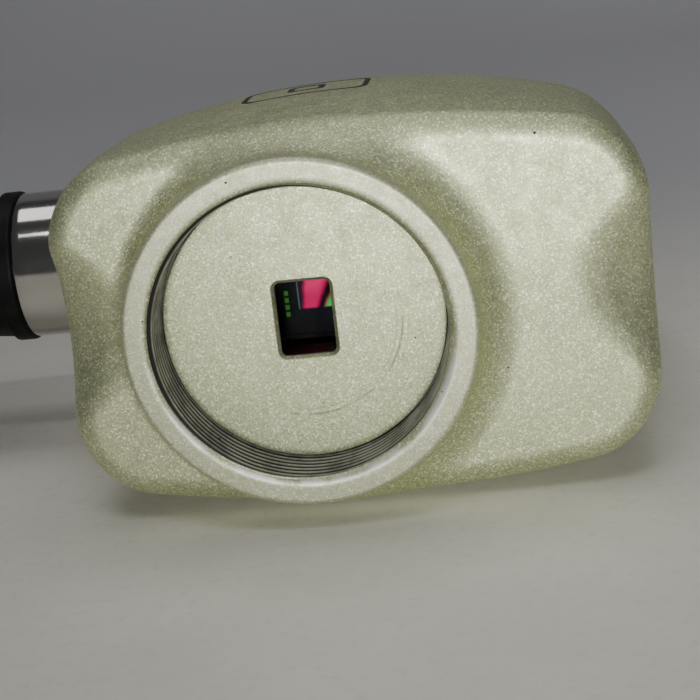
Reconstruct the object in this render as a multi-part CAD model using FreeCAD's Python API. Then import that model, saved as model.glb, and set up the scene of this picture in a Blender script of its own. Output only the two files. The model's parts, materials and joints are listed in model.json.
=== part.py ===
import FreeCAD, Part
import math
import os

# Camera head with a threaded lens port and a side cable gland.
#
# Frame: the origin is the centre of the lens port's lip face, on the port axis.
# -Y points out of the port, +Y into the body, +X away from the cable, +Z up.
# All sizes are in millimetres.

Vector = FreeCAD.Vector

# ---------------------------------------------------------------- driving sizes

# Body envelope: a pebble, widest and tallest at BULGE_Y, standing between FACE_Y and BACK_Y.
FACE_Y = 4.8
SEAM_Y = 46.0
BACK_Y = 58.0
BULGE_Y = 18.0
BODY_CENTRE_X = 4.2
HALF_WIDTH = 25.8
HALF_HEIGHT = 17.4
SIDE_BULGE_RADIUS = 200.0
TOP_BULGE_RADIUS = 90.0
FACE_CROWN_RADIUS = 125.0
CROWN_RADIUS = 76.0
CORNER_RADIUS = 6.0
FACE_ROUNDING = 2.2
BACK_ROUNDING = 3.5
WALL = 2.4
FRONT_WALL_END_Y = 8.3
COVER_FLOOR_Y = BACK_Y - WALL
SECTION_COUNT = 8

# Finger scallops, round grooves running out and back over the two front edges.
SCALLOP_RADIUS = 11.0
SCALLOP_START_X = 20.3
SCALLOP_SLOPE = 36.0
SCALLOP_Z = 0.5
SCALLOP_REACH = 30.0

# Lens port: 1 inch bore thread, 32 threads per inch.
PORT_CREST_RADIUS = 12.27
PORT_ROOT_RADIUS = 12.7
PORT_PITCH = 25.4 / 32
PORT_RING_RADIUS = 14.85
PORT_LIP_RADIUS = 12.85
PORT_LIP_ROUNDING = 0.5
PORT_FOOT_FILLET = 1.6
PORT_START_Y = 0.4
PORT_RELIEF_Y = 4.8
PORT_RELIEF_RADIUS = 12.75
CREST_LAND = 0.16
SHOULDER_Y = 6.3
INNER_BORE_RADIUS = 9.5
FOCAL_PLANE_Y = 17.526

# Aperture plate, a disc dropped through the thread onto the shoulder.
PLATE_FRONT_Y = 4.8
PLATE_RADIUS = 12.1
WINDOW_WIDTH = 4.7
WINDOW_HEIGHT = 6.42
WINDOW_X = 0.1
WINDOW_Z = 0.2
WINDOW_BEVEL = 0.3
WINDOW_CORNER = 0.5
WINDOW_LAND_END_Y = 5.4
WINDOW_RELIEF = 0.6

# Filter glass and light baffle behind the plate.
FILTER_WIDTH = 8.6
FILTER_HEIGHT = 10.2
FILTER_THICKNESS = 1.1
FILTER_SEAL_THICKNESS = 0.4
FILTER_SEAL_WALL = 1.2
BAFFLE_RADIUS = 9.3
BAFFLE_END_Y = 15.4
BAFFLE_FRONT_HOLE = (6.4, 7.8)
BAFFLE_REAR_HOLE = (9.2, 10.0)

# Sensor package, centred on the port axis with its die on the focal plane.
PACKAGE_WIDTH = 12.4
PACKAGE_HEIGHT = 13.6
PACKAGE_FRONT_Y = 16.7
PACKAGE_BACK_Y = 19.9
PACKAGE_CAVITY = (9.2, 9.66)
COVER_GLASS = (11.2, 12.4)
COVER_GLASS_THICKNESS = 0.7
SENSOR_SEAL_WALL = 0.9
DIE_WIDTH = 4.6
DIE_HEIGHT = 6.7
DIE_THICKNESS = 0.4
BOND_PAD_X = 2.97
BOND_PAD_Z = 0.74
BOND_PAD_PITCH = 0.666
BOND_PADS_PER_CORNER = 4
BOND_PAD_SIZE = (0.36, 0.42, 0.06)
LEAD_SIZE = (0.5, 0.3)
LEAD_HOLE = (0.8, 0.6)
LEAD_PITCH = 1.27
LEAD_COUNT = 8
LEAD_SPREAD_X = 5.2
LEAD_STANDOUT = 0.8

# Circuit boards, stacked behind the port on four posts.
BOARD_THICKNESS = 1.6
SENSOR_BOARD_Y = 20.4
SENSOR_BOARD = (28.0, 23.0)
VIDEO_BOARD_Y = 28.0
VIDEO_BOARD = (36.0, 21.0)
VIDEO_BOARD_X = 5.0
POST_X = 11.5
POST_Z = 8.6
POST_FLATS = 4.0
POST_THREAD_RADIUS = 1.0
THREAD_CLEARANCE = 0.05
STUD_DEPTH = 2.4
BOARD_HOLE_RADIUS = 1.2
POST_HOLE_DEPTH = 4.4
SCREW_HEAD_RADIUS = 1.9
SCREW_HEAD_HEIGHT = 1.3
SCREW_SOCKET_SHARE = 0.55
SCREW_FLATS_SHARE = 0.85
BOARD_SCREW_LENGTH = 5.0

# Parts on the boards. A moulded chip is (width, height, thickness, x, z).
CHIP_STANDOFF = 0.1
CHIP_LEG = (0.7, 0.5, 0.35)
CHIP_LEG_PITCH = 0.8
SENSOR_BOARD_CHIPS = [(3.0, 5.0, 1.1, -10.2, 0.0), (3.0, 4.2, 1.1, 10.2, 0.0)]
SENSOR_CAPACITOR = (1.2, 0.6, 0.7)
SENSOR_CAPACITOR_X = 7.2
VIDEO_BOARD_CHIPS = [(4.0, 5.2, 1.2, 18.0, 4.0), (3.0, 4.4, 1.2, 18.0, -5.0)]
VIDEO_CAPACITOR = (0.8, 0.7, 1.4)
VIDEO_CAPACITOR_START_X = -6.0
VIDEO_CAPACITOR_Z = 8.6
CAPACITOR_PITCH = 1.6
SENSOR_CAPACITOR_COUNT = 4
VIDEO_CAPACITOR_COUNT = 5
CRYSTAL = (6.0, 2.4, 3.2)
CRYSTAL_X = 18.5
CRYSTAL_Z = -0.6
CRYSTAL_ROUNDING = 0.8
PROCESSOR_X = 3.5
PROCESSOR_SIDE = 9.0
PROCESSOR_THICKNESS = 1.0
HEAT_PAD_SIDE = 8.0
HEAT_PAD_THICKNESS = 0.5
SHIELD_SIDE = 13.0
SHIELD_HEIGHT = 1.8
SHIELD_SHEET = 0.3

# Connectors: the pair between the boards, and the cable's keyed header.
CONNECTOR = (4.4, 14.0)
CONNECTOR_TONGUE = (1.8, 1.2, 11.6)
CONNECTOR_SLOT = (2.0, 1.4, 12.0)
HEADER = (5.0, 5.0, 13.0)
HEADER_X = -7.6
HEADER_WALL = 0.8
HEADER_FLOOR = 1.2
HEADER_KEY_WIDTH = 4.0
HEADER_KEY_BOTTOM = 2.0
HEADER_PIN_SIDE = 0.5
HEADER_PIN_LENGTH = 3.0
HEADER_PIN_PITCH = 1.2
HEADER_PIN_COUNT = 8

# Cover fasteners.
COVER_SCREW_X = 13.6
COVER_SCREW_Z = 4.9
COVER_POST_RADIUS = 2.7
COVER_WEB = 1.8
COVER_POST_START_Y = 36.0
COVER_HOLE_RADIUS = 1.15
COVER_COUNTERBORE_RADIUS = 2.1
COVER_COUNTERBORE_Y = 49.0
COVER_SCREW_END_Y = 38.0
COVER_SCREW_HEAD_HEIGHT = 2.0
PLUG_START_Y = 51.5

# Rear seal, an elastic cord in a groove of the seam face.
SEAL_GROOVE_INSET = 0.8
SEAL_GROOVE_WIDTH = 0.8
SEAL_GROOVE_DEPTH = 0.8
SEAL_GAP = 0.05

# Cable gland, on the cable side, along -X.
GLAND_Y = 37.0
GLAND_Z = 0.0
PAD_RADIUS = 8.4
PAD_OUTER_X = -22.4
PAD_INNER_X = -17.2
GLAND_HOLE_RADIUS = 5.05
GLAND_NECK_RADIUS = 5.0
GLAND_NECK_END_X = -12.8
RING_RADIUS = 7.4
RING_END_X = -31.4
RING_EDGE = 0.25
RING_BORE_RADIUS = 3.6
SPIGOT_RADIUS = 5.4
SPIGOT_BARB_RADIUS = 5.8
SPIGOT_END_X = -37.4
SPIGOT_BARB_LENGTH = 3.6
SPIGOT_TIP_STEP = 0.3
GLAND_SEAL_INNER = 5.5
GLAND_SEAL_OUTER = 6.6
GLAND_SEAL_DEPTH = 0.6
NUT_FLATS = 13.0
NUT_THICKNESS = 3.2
WASHER_RADIUS = 7.0
WASHER_THICKNESS = 0.6
GRIP_SLOT_WIDTH = 0.6
GRIP_SLOT_START = 1.5

# Strain relief boot.
BOOT_COLLAR_RADIUS = 7.65
BOOT_COLLAR_LENGTH = 1.7
BOOT_SHOULDER_RADIUS = 7.25
BOOT_END_X = -72.0
BOOT_TIP_RADIUS = 4.7
BOOT_FLEX_START_X = -44.0
BOOT_FLEX_COUNT = 5
BOOT_FLEX_PITCH = 4.8
BOOT_FLEX_SLOT = 1.5
BOOT_FLEX_FLOOR = 1.1
BOOT_RIB_SHARE = 0.55
BOOT_EDGE = 0.2
BOOT_TIP_EDGE = 0.6
BOOT_TAPER_POWER = 1.4
BOOT_TAPER_STEPS = 8
CABLE_BORE_RADIUS = 3.1


# ---------------------------------------------------------------- basic shapes

def box(x_low, x_high, y_low, y_high, z_low, z_high):
    size = (x_high - x_low, y_high - y_low, z_high - z_low)
    return Part.makeBox(size[0], size[1], size[2], Vector(x_low, y_low, z_low))


def centred_box(width, y_low, y_high, height, x=0.0, z=0.0):
    return box(x - width / 2, x + width / 2, y_low, y_high, z - height / 2, z + height / 2)


def rod_y(radius, y_low, y_high, x=0.0, z=0.0):
    return Part.makeCylinder(radius, y_high - y_low, Vector(x, y_low, z), Vector(0, 1, 0))


def rod_x(radius, x_low, x_high, y=GLAND_Y, z=GLAND_Z):
    return Part.makeCylinder(radius, x_high - x_low, Vector(x_low, y, z), Vector(1, 0, 0))


def hexagon(flats, start, direction, length):
    """A hexagonal bar with one pair of flats facing +Z and -Z."""
    corner = flats / math.sqrt(3)
    across = Vector(0, 0, 1).cross(direction)
    points = []
    for index in range(7):
        angle = math.radians(60 * index)
        points.append(start + across * (corner * math.cos(angle)) + Vector(0, 0, corner * math.sin(angle)))
    return Part.Face(Part.makePolygon(points)).extrude(direction * length)


def turned_y(profile):
    """Revolves (radius, y) points about the port axis."""
    points = [Vector(radius, y, 0) for radius, y in profile]
    wire = Part.makePolygon(points + [points[0]])
    return Part.Face(wire).revolve(Vector(0, 0, 0), Vector(0, 1, 0), 360)


def turned_x(profile):
    """Revolves (x, radius) points about the gland axis."""
    points = [Vector(x, GLAND_Y, GLAND_Z + radius) for x, radius in profile]
    wire = Part.makePolygon(points + [points[0]])
    return Part.Face(wire).revolve(Vector(0, GLAND_Y, GLAND_Z), Vector(1, 0, 0), 360)


def rectangle_wire(width, height, y, corner=0.0):
    half_w = width / 2
    half_h = height / 2
    corners = [(-half_w, -half_h), (half_w, -half_h), (half_w, half_h), (-half_w, half_h)]
    wire = Part.makePolygon([Vector(x, y, z) for x, z in corners + corners[:1]])
    if corner == 0:
        return wire
    face = Part.Face(wire).extrude(Vector(0, 1, 0))
    uprights = [edge for edge in face.Edges if abs(edge.Vertexes[0].Y - edge.Vertexes[-1].Y) > 0.5]
    rounded = face.makeFillet(corner, uprights)
    low_face = min(rounded.Faces, key=lambda item: item.CenterOfMass.y)
    return low_face.OuterWire


def tapered_hole(front, y_front, rear, y_rear, corner=0.0):
    wires = [rectangle_wire(front[0], front[1], y_front, corner)]
    wires.append(rectangle_wire(rear[0], rear[1], y_rear, corner))
    return Part.makeLoft(wires, True, True)


def fuse_all(shapes):
    result = shapes[0]
    for shape in shapes[1:]:
        result = result.fuse(shape)
    return result.removeSplitter()


def four_corners(x, z, centre_x=0.0):
    return [(centre_x + side * x, end * z) for side in (-1, 1) for end in (-1, 1)]


# ---------------------------------------------------------------- body envelope

def bulge_drop(y, radius):
    """How far a circular arc of this radius has fallen away from its crest at BULGE_Y."""
    return radius - math.sqrt(radius ** 2 - (y - BULGE_Y) ** 2)


def crown_radius(y):
    """The top's sideways curve: flattest at the face, tightening up to the bulge."""
    share = min(max((y - FACE_Y) / (BULGE_Y - FACE_Y), 0.0), 1.0)
    return 1 / ((1 - share) / FACE_CROWN_RADIUS + share / CROWN_RADIUS)


def body_outline(y, inset=0.0):
    """The body's cross-section: crowned top and bottom, straight sides, round corners."""
    half_w = HALF_WIDTH - bulge_drop(y, SIDE_BULGE_RADIUS) - inset
    half_h = HALF_HEIGHT - bulge_drop(y, TOP_BULGE_RADIUS) - inset
    crown = crown_radius(y) - inset
    corner = CORNER_RADIUS - inset
    crown_z = half_h - crown
    corner_x = half_w - corner
    corner_z = crown_z + math.sqrt((crown - corner) ** 2 - corner_x ** 2)
    lean = math.asin(corner_x / (crown - corner))
    middle = (math.pi / 2 - lean) / 2

    def at(x, z):
        return Vector(BODY_CENTRE_X + x, y, z)

    def corner_point(angle, x_sign, z_sign):
        x = corner_x + corner * math.cos(angle)
        z = corner_z + corner * math.sin(angle)
        return at(x_sign * x, z_sign * z)

    end_angle = math.pi / 2 - lean
    edges = []
    for x_sign, z_sign in ((1, 1), (-1, 1), (-1, -1), (1, -1)):
        side = corner_point(0, x_sign, z_sign)
        mid = corner_point(middle, x_sign, z_sign)
        crown_end = corner_point(end_angle, x_sign, z_sign)
        if x_sign == z_sign:
            edges.append(Part.Arc(side, mid, crown_end).toShape())
            opposite = corner_point(end_angle, -x_sign, z_sign)
            edges.append(Part.Arc(crown_end, at(0, z_sign * half_h), opposite).toShape())
        else:
            edges.append(Part.Arc(crown_end, mid, side).toShape())
            edges.append(Part.makeLine(side, corner_point(0, x_sign, -z_sign)))
    return Part.Wire(edges)


def body_block(y_low, y_high, inset=0.0):
    """The envelope, inset all round, between two planes."""
    wires = []
    for index in range(SECTION_COUNT):
        y = y_low + (y_high - y_low) * index / (SECTION_COUNT - 1)
        wires.append(body_outline(y, inset))
    return Part.makeLoft(wires, True, False)


def edges_on_plane(shape, y):
    """Edges that lie wholly in one plane across the body."""
    found = []
    for edge in shape.Edges:
        box_of_edge = edge.BoundBox
        if abs(box_of_edge.YMin - y) < 0.01 and abs(box_of_edge.YMax - y) < 0.01:
            found.append(edge)
    return found


def cut_scallops(shape, radius):
    """Cuts both grooves. SCALLOP_START_X is where each groove's floor line crosses the face."""
    slope = math.radians(SCALLOP_SLOPE)
    for side in (-1, 1):
        along = Vector(side * math.cos(slope), math.sin(slope), 0)
        floor = Vector(BODY_CENTRE_X + side * SCALLOP_START_X, FACE_Y, SCALLOP_Z)
        axis_point = floor + Vector(side * math.sin(slope), -math.cos(slope), 0) * SCALLOP_RADIUS
        start = axis_point - along * SCALLOP_REACH
        shape = shape.cut(Part.makeCylinder(radius, 2 * SCALLOP_REACH, start, along))
    return shape


def outer_body():
    body = body_block(FACE_Y, BACK_Y)
    body = body.makeFillet(FACE_ROUNDING, edges_on_plane(body, FACE_Y))
    body = body.makeFillet(BACK_ROUNDING, edges_on_plane(body, BACK_Y))
    return cut_scallops(body, SCALLOP_RADIUS)


# ---------------------------------------------------------------- housing

def port_ring():
    """The raised ring round the port, with a rounded outer lip."""
    ring = rod_y(PORT_RING_RADIUS, 0, FRONT_WALL_END_Y)
    return ring.makeFillet(PORT_LIP_ROUNDING, edges_on_plane(ring, 0))


def thread_grooves():
    """V grooves at the thread's pitch, leaving narrow crest lands between them."""
    grooves = []
    count = int((PORT_RELIEF_Y - PORT_START_Y) / PORT_PITCH)
    for index in range(count):
        low = PORT_START_Y + CREST_LAND + index * PORT_PITCH
        high = low + PORT_PITCH - CREST_LAND
        inside = PORT_CREST_RADIUS - THREAD_CLEARANCE
        slope = (high - low) / 2 * THREAD_CLEARANCE / (PORT_ROOT_RADIUS - PORT_CREST_RADIUS)
        profile = [(inside, low - slope), (PORT_ROOT_RADIUS, (low + high) / 2), (inside, high + slope)]
        grooves.append(turned_y(profile))
    return grooves


def port_bore():
    """Everything removed from the front wall along the port axis, apart from the grooves."""
    profile = [
        (0, -1),
        (PORT_LIP_RADIUS, -1),
        (PORT_LIP_RADIUS, 0),
        (PORT_CREST_RADIUS, PORT_START_Y),
        (PORT_CREST_RADIUS, PORT_RELIEF_Y),
        (PORT_RELIEF_RADIUS, PORT_RELIEF_Y),
        (PORT_RELIEF_RADIUS, SHOULDER_Y),
        (INNER_BORE_RADIUS, SHOULDER_Y),
        (INNER_BORE_RADIUS, FRONT_WALL_END_Y + WALL),
        (0, FRONT_WALL_END_Y + WALL),
    ]
    return turned_y(profile)


def gland_pad():
    """The flat round pad that the gland seats on, inside and outside the wall."""
    return rod_x(PAD_RADIUS, PAD_OUTER_X, PAD_INNER_X)


def cover_posts(y_low, y_high):
    """The screw posts, each joined to the wall above or below it by a web."""
    posts = []
    half_web = COVER_WEB / 2
    for x, z in four_corners(COVER_SCREW_X, COVER_SCREW_Z, BODY_CENTRE_X):
        wall_z = math.copysign(HALF_HEIGHT, z)
        web = box(x - half_web, x + half_web, y_low, y_high, min(z, wall_z), max(z, wall_z))
        posts.append(rod_y(COVER_POST_RADIUS, y_low, y_high, x, z).fuse(web))
    return posts


def seal_ring(gap):
    """The seal's path at the seam: a flat ring following the wall, with a gap on each side."""
    outer = Part.Face(body_outline(SEAM_Y, SEAL_GROOVE_INSET + gap))
    inner = Part.Face(body_outline(SEAM_Y, SEAL_GROOVE_INSET + SEAL_GROOVE_WIDTH - gap))
    return outer.cut(inner)


def front_housing():
    shell = outer_body().cut(box(-60, 60, SEAM_Y, BACK_Y + 10, -40, 40))
    shell = shell.fuse(port_ring()).fuse(gland_pad())
    foot = [edge for edge in shell.Edges if is_ring_foot(edge)]
    shell = rounded_foot(shell, foot)
    cavity = body_block(FRONT_WALL_END_Y, SEAM_Y + 1, WALL)
    cavity = cut_scallops(cavity, SCALLOP_RADIUS + WALL).cut(gland_pad())
    for post in cover_posts(COVER_POST_START_Y, SEAM_Y + 1):
        cavity = cavity.cut(post)
    shell = shell.cut(cavity).cut(port_bore())
    for groove in thread_grooves():
        shell = shell.cut(groove)
    shell = shell.cut(rod_x(GLAND_HOLE_RADIUS, PAD_OUTER_X - 1, PAD_INNER_X + 1))
    for x, z in four_corners(COVER_SCREW_X, COVER_SCREW_Z, BODY_CENTRE_X):
        tapped = rod_y(POST_THREAD_RADIUS + THREAD_CLEARANCE, COVER_SCREW_END_Y - 1, SEAM_Y + 1, x, z)
        shell = shell.cut(tapped)
    for x, z in four_corners(POST_X, POST_Z):
        tapped = rod_y(POST_THREAD_RADIUS + THREAD_CLEARANCE, FRONT_WALL_END_Y - STUD_DEPTH, 9, x, z)
        shell = shell.cut(tapped)
    groove = seal_ring(0).extrude(Vector(0, -SEAL_GROOVE_DEPTH, 0))
    return shell.cut(groove)


def is_ring_foot(edge):
    """Edges where the port ring's wall meets the body."""
    middle = edge.valueAt((edge.FirstParameter + edge.LastParameter) / 2)
    radius = math.hypot(middle.x, middle.z)
    return abs(radius - PORT_RING_RADIUS) < 0.01 and middle.y > PORT_LIP_ROUNDING + 0.3


def rounded_foot(shell, foot):
    """Blends the ring into the face, with the largest radius that the edges accept."""
    radius = PORT_FOOT_FILLET
    while radius > 0.3:
        try:
            blended = shell.makeFillet(radius, foot)
            if blended.isValid() and blended.Volume > shell.Volume:
                print("port foot fillet", radius)
                return blended
        except Part.OCCError:
            pass
        radius = radius * 0.75
    print("port foot left sharp")
    return shell


def rear_cover():
    cover = outer_body().cut(box(-60, 60, -10, SEAM_Y, -40, 40))
    cavity = body_block(SEAM_Y - 1, COVER_FLOOR_Y, WALL)
    for post in cover_posts(SEAM_Y - 1, BACK_Y):
        cavity = cavity.cut(post)
    cover = cover.cut(cavity)
    for x, z in four_corners(COVER_SCREW_X, COVER_SCREW_Z, BODY_CENTRE_X):
        cover = cover.cut(rod_y(COVER_HOLE_RADIUS, SEAM_Y - 1, BACK_Y, x, z))
        cover = cover.cut(rod_y(COVER_COUNTERBORE_RADIUS, COVER_COUNTERBORE_Y, BACK_Y + 1, x, z))
    return cover


def rear_seal():
    return seal_ring(SEAL_GAP).extrude(Vector(0, -SEAL_GROOVE_DEPTH, 0))


def socket_screw(x, z, head_y, tip_y, head_height):
    """A socket-head screw driven along -Y, with its head's underside at head_y."""
    screw = rod_y(POST_THREAD_RADIUS, tip_y, head_y, x, z)
    screw = screw.fuse(rod_y(SCREW_HEAD_RADIUS, head_y, head_y + head_height, x, z))
    socket_depth = head_height * SCREW_SOCKET_SHARE
    start = Vector(x, head_y + head_height - socket_depth, z)
    flats = SCREW_HEAD_RADIUS * SCREW_FLATS_SHARE
    return screw.cut(hexagon(flats, start, Vector(0, 1, 0), socket_depth))


def cover_screws():
    screws = []
    for x, z in four_corners(COVER_SCREW_X, COVER_SCREW_Z, BODY_CENTRE_X):
        screw = socket_screw(x, z, COVER_COUNTERBORE_Y, COVER_SCREW_END_Y, COVER_SCREW_HEAD_HEIGHT)
        screws.append(screw)
    return Part.makeCompound(screws)


def screw_plugs():
    plugs = []
    body = outer_body()
    for x, z in four_corners(COVER_SCREW_X, COVER_SCREW_Z, BODY_CENTRE_X):
        plug = rod_y(COVER_COUNTERBORE_RADIUS - SEAL_GAP, PLUG_START_Y, BACK_Y + 1, x, z)
        plugs.append(plug.common(body).Solids[0])
    return Part.makeCompound(plugs)


# ---------------------------------------------------------------- optics and sensor

def aperture_plate():
    """The painted disc. Its window is bevelled in front and flared behind a thin land."""
    window = (WINDOW_WIDTH, WINDOW_HEIGHT)
    bevel = (WINDOW_WIDTH + 2 * WINDOW_BEVEL, WINDOW_HEIGHT + 2 * WINDOW_BEVEL)
    flare = (WINDOW_WIDTH + 2 * WINDOW_RELIEF, WINDOW_HEIGHT + 2 * WINDOW_RELIEF)
    hole = tapered_hole(window, PLATE_FRONT_Y - 1, window, SHOULDER_Y + 1, WINDOW_CORNER)
    bevel_cut = tapered_hole(bevel, PLATE_FRONT_Y, window, PLATE_FRONT_Y + WINDOW_BEVEL, WINDOW_CORNER)
    flare_cut = tapered_hole(window, WINDOW_LAND_END_Y, flare, SHOULDER_Y, WINDOW_CORNER)
    plate = rod_y(PLATE_RADIUS, PLATE_FRONT_Y, SHOULDER_Y)
    for cutter in (hole, bevel_cut, flare_cut):
        cutter.translate(Vector(WINDOW_X, 0, WINDOW_Z))
        plate = plate.cut(cutter)
    return plate


def frame_piece(outer, inner, y_low, y_high):
    frame = centred_box(outer[0], y_low, y_high, outer[1])
    return frame.cut(centred_box(inner[0], y_low - 1, y_high + 1, inner[1]))


def filter_seal():
    inner = (FILTER_WIDTH - 2 * FILTER_SEAL_WALL, FILTER_HEIGHT - 2 * FILTER_SEAL_WALL)
    outer = (FILTER_WIDTH, FILTER_HEIGHT)
    return frame_piece(outer, inner, SHOULDER_Y, SHOULDER_Y + FILTER_SEAL_THICKNESS)


def filter_glass():
    y_low = SHOULDER_Y + FILTER_SEAL_THICKNESS
    return centred_box(FILTER_WIDTH, y_low, y_low + FILTER_THICKNESS, FILTER_HEIGHT)


def light_baffle():
    y_low = SHOULDER_Y + FILTER_SEAL_THICKNESS + FILTER_THICKNESS
    tube = rod_y(BAFFLE_RADIUS, y_low, BAFFLE_END_Y)
    return tube.cut(tapered_hole(BAFFLE_FRONT_HOLE, y_low, BAFFLE_REAR_HOLE, BAFFLE_END_Y))


def sensor_seal():
    outer = (COVER_GLASS[0], COVER_GLASS[1])
    inner = (outer[0] - 2 * SENSOR_SEAL_WALL, outer[1] - 2 * SENSOR_SEAL_WALL)
    return frame_piece(outer, inner, BAFFLE_END_Y, PACKAGE_FRONT_Y - COVER_GLASS_THICKNESS)


def sensor_cover_glass():
    low_y = PACKAGE_FRONT_Y - COVER_GLASS_THICKNESS
    return centred_box(COVER_GLASS[0], low_y, PACKAGE_FRONT_Y, COVER_GLASS[1])


def sensor_package():
    package = centred_box(PACKAGE_WIDTH, PACKAGE_FRONT_Y, PACKAGE_BACK_Y, PACKAGE_HEIGHT)
    floor_y = FOCAL_PLANE_Y + DIE_THICKNESS
    return package.cut(centred_box(PACKAGE_CAVITY[0], PACKAGE_FRONT_Y - 1, floor_y, PACKAGE_CAVITY[1]))


def sensor_die():
    return centred_box(DIE_WIDTH, FOCAL_PLANE_Y, FOCAL_PLANE_Y + DIE_THICKNESS, DIE_HEIGHT)


def bond_pad_places():
    places = []
    for index in range(BOND_PADS_PER_CORNER):
        places = places + four_corners(BOND_PAD_X, BOND_PAD_Z + index * BOND_PAD_PITCH)
    return places


def sensor_bond_pads():
    width, height, thickness = BOND_PAD_SIZE
    floor_y = FOCAL_PLANE_Y + DIE_THICKNESS
    pads = [centred_box(width, floor_y - thickness, floor_y, height, x, z) for x, z in bond_pad_places()]
    return Part.makeCompound(pads)


def sensor_leads():
    """Flat pins that leave the package's back and pass through the sensor board."""
    leads = []
    end_y = SENSOR_BOARD_Y + BOARD_THICKNESS + LEAD_STANDOUT
    for x in (-LEAD_SPREAD_X, LEAD_SPREAD_X):
        for index in range(LEAD_COUNT):
            z = (index - (LEAD_COUNT - 1) / 2) * LEAD_PITCH
            leads.append(centred_box(LEAD_SIZE[0], PACKAGE_BACK_Y, end_y, LEAD_SIZE[1], x, z))
    return Part.makeCompound(leads)


def thermal_pad():
    return centred_box(2 * LEAD_SPREAD_X - 2, PACKAGE_BACK_Y, SENSOR_BOARD_Y, PACKAGE_HEIGHT - 2)


# ---------------------------------------------------------------- boards

def sensor_board():
    board = centred_box(SENSOR_BOARD[0], SENSOR_BOARD_Y, SENSOR_BOARD_Y + BOARD_THICKNESS, SENSOR_BOARD[1])
    for x, z in four_corners(POST_X, POST_Z):
        board = board.cut(rod_y(BOARD_HOLE_RADIUS, SENSOR_BOARD_Y - 1, VIDEO_BOARD_Y, x, z))
    for lead in sensor_leads().Solids:
        place = lead.CenterOfMass
        hole = centred_box(LEAD_HOLE[0], SENSOR_BOARD_Y - 1, VIDEO_BOARD_Y, LEAD_HOLE[1], place.x, place.z)
        board = board.cut(hole)
    return board


def video_board():
    board = centred_box(VIDEO_BOARD[0], VIDEO_BOARD_Y, VIDEO_BOARD_Y + BOARD_THICKNESS, VIDEO_BOARD[1],
                        VIDEO_BOARD_X)
    for x, z in four_corners(POST_X, POST_Z):
        board = board.cut(rod_y(BOARD_HOLE_RADIUS, VIDEO_BOARD_Y - 1, VIDEO_BOARD_Y + 5, x, z))
    return board


def stud_post(x, z, y_low, y_high, stud_length):
    """A hexagonal post with a stud at its front end and a tapped hole in its back."""
    post = hexagon(POST_FLATS, Vector(x, y_low, z), Vector(0, 1, 0), y_high - y_low)
    post = post.fuse(rod_y(POST_THREAD_RADIUS, y_low - stud_length, y_low, x, z))
    return post.cut(rod_y(POST_THREAD_RADIUS + THREAD_CLEARANCE, y_high - POST_HOLE_DEPTH, y_high + 1, x, z))


def front_posts():
    posts = []
    for x, z in four_corners(POST_X, POST_Z):
        posts.append(stud_post(x, z, FRONT_WALL_END_Y, SENSOR_BOARD_Y, STUD_DEPTH - 0.2))
    return Part.makeCompound(posts)


def board_posts():
    posts = []
    low_y = SENSOR_BOARD_Y + BOARD_THICKNESS
    for x, z in four_corners(POST_X, POST_Z):
        posts.append(stud_post(x, z, low_y, VIDEO_BOARD_Y, BOARD_THICKNESS + STUD_DEPTH))
    return Part.makeCompound(posts)


def board_screws():
    screws = []
    head_y = VIDEO_BOARD_Y + BOARD_THICKNESS
    for x, z in four_corners(POST_X, POST_Z):
        screws.append(socket_screw(x, z, head_y, head_y - BOARD_SCREW_LENGTH, SCREW_HEAD_HEIGHT))
    return Part.makeCompound(screws)


def chip(width, height, thickness, x, z, board_face_y):
    """A moulded chip package with legs along its two long sides."""
    top_y = board_face_y + thickness
    pieces = [centred_box(width, board_face_y + CHIP_STANDOFF, top_y, height, x, z)]
    leg_length, leg_thickness, leg_width = CHIP_LEG
    leg_count = int(height / CHIP_LEG_PITCH)
    for side in (-1, 1):
        leg_x = x + side * (width + leg_length) / 2
        for index in range(leg_count):
            leg_z = z + (index - (leg_count - 1) / 2) * CHIP_LEG_PITCH
            leg_top_y = board_face_y + leg_thickness
            pieces.append(centred_box(leg_length, board_face_y, leg_top_y, leg_width, leg_x, leg_z))
    return fuse_all(pieces)


def sensor_board_chips():
    face_y = SENSOR_BOARD_Y + BOARD_THICKNESS
    chips = [chip(*sizes, face_y) for sizes in SENSOR_BOARD_CHIPS]
    width, thickness, height = SENSOR_CAPACITOR
    for index in range(SENSOR_CAPACITOR_COUNT):
        z = (index - (SENSOR_CAPACITOR_COUNT - 1) / 2) * CAPACITOR_PITCH
        for side in (-1, 1):
            chips.append(centred_box(width, face_y, face_y + thickness, height, side * SENSOR_CAPACITOR_X, z))
    return Part.makeCompound(chips)


def connector_middle_y():
    return (SENSOR_BOARD_Y + BOARD_THICKNESS + VIDEO_BOARD_Y) / 2


def connector_plug():
    """The half on the sensor board, with a tongue."""
    y_high = connector_middle_y()
    width, depth, height = CONNECTOR_TONGUE
    plug = centred_box(CONNECTOR[0], SENSOR_BOARD_Y + BOARD_THICKNESS, y_high, CONNECTOR[1])
    return plug.fuse(centred_box(width, y_high, y_high + depth, height))


def connector_socket():
    """The half on the video board, with a slot that takes the tongue."""
    y_low = connector_middle_y()
    width, depth, height = CONNECTOR_SLOT
    socket = centred_box(CONNECTOR[0], y_low, VIDEO_BOARD_Y, CONNECTOR[1])
    return socket.cut(centred_box(width, y_low - 1, y_low + depth, height))


def video_board_chips():
    face_y = VIDEO_BOARD_Y + BOARD_THICKNESS
    chips = [chip(*sizes, face_y) for sizes in VIDEO_BOARD_CHIPS]
    width, thickness, height = VIDEO_CAPACITOR
    for index in range(VIDEO_CAPACITOR_COUNT):
        x = VIDEO_CAPACITOR_START_X + index * CAPACITOR_PITCH
        for side in (-1, 1):
            chips.append(centred_box(width, face_y, face_y + thickness, height, x, side * VIDEO_CAPACITOR_Z))
    return Part.makeCompound(chips)


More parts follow.
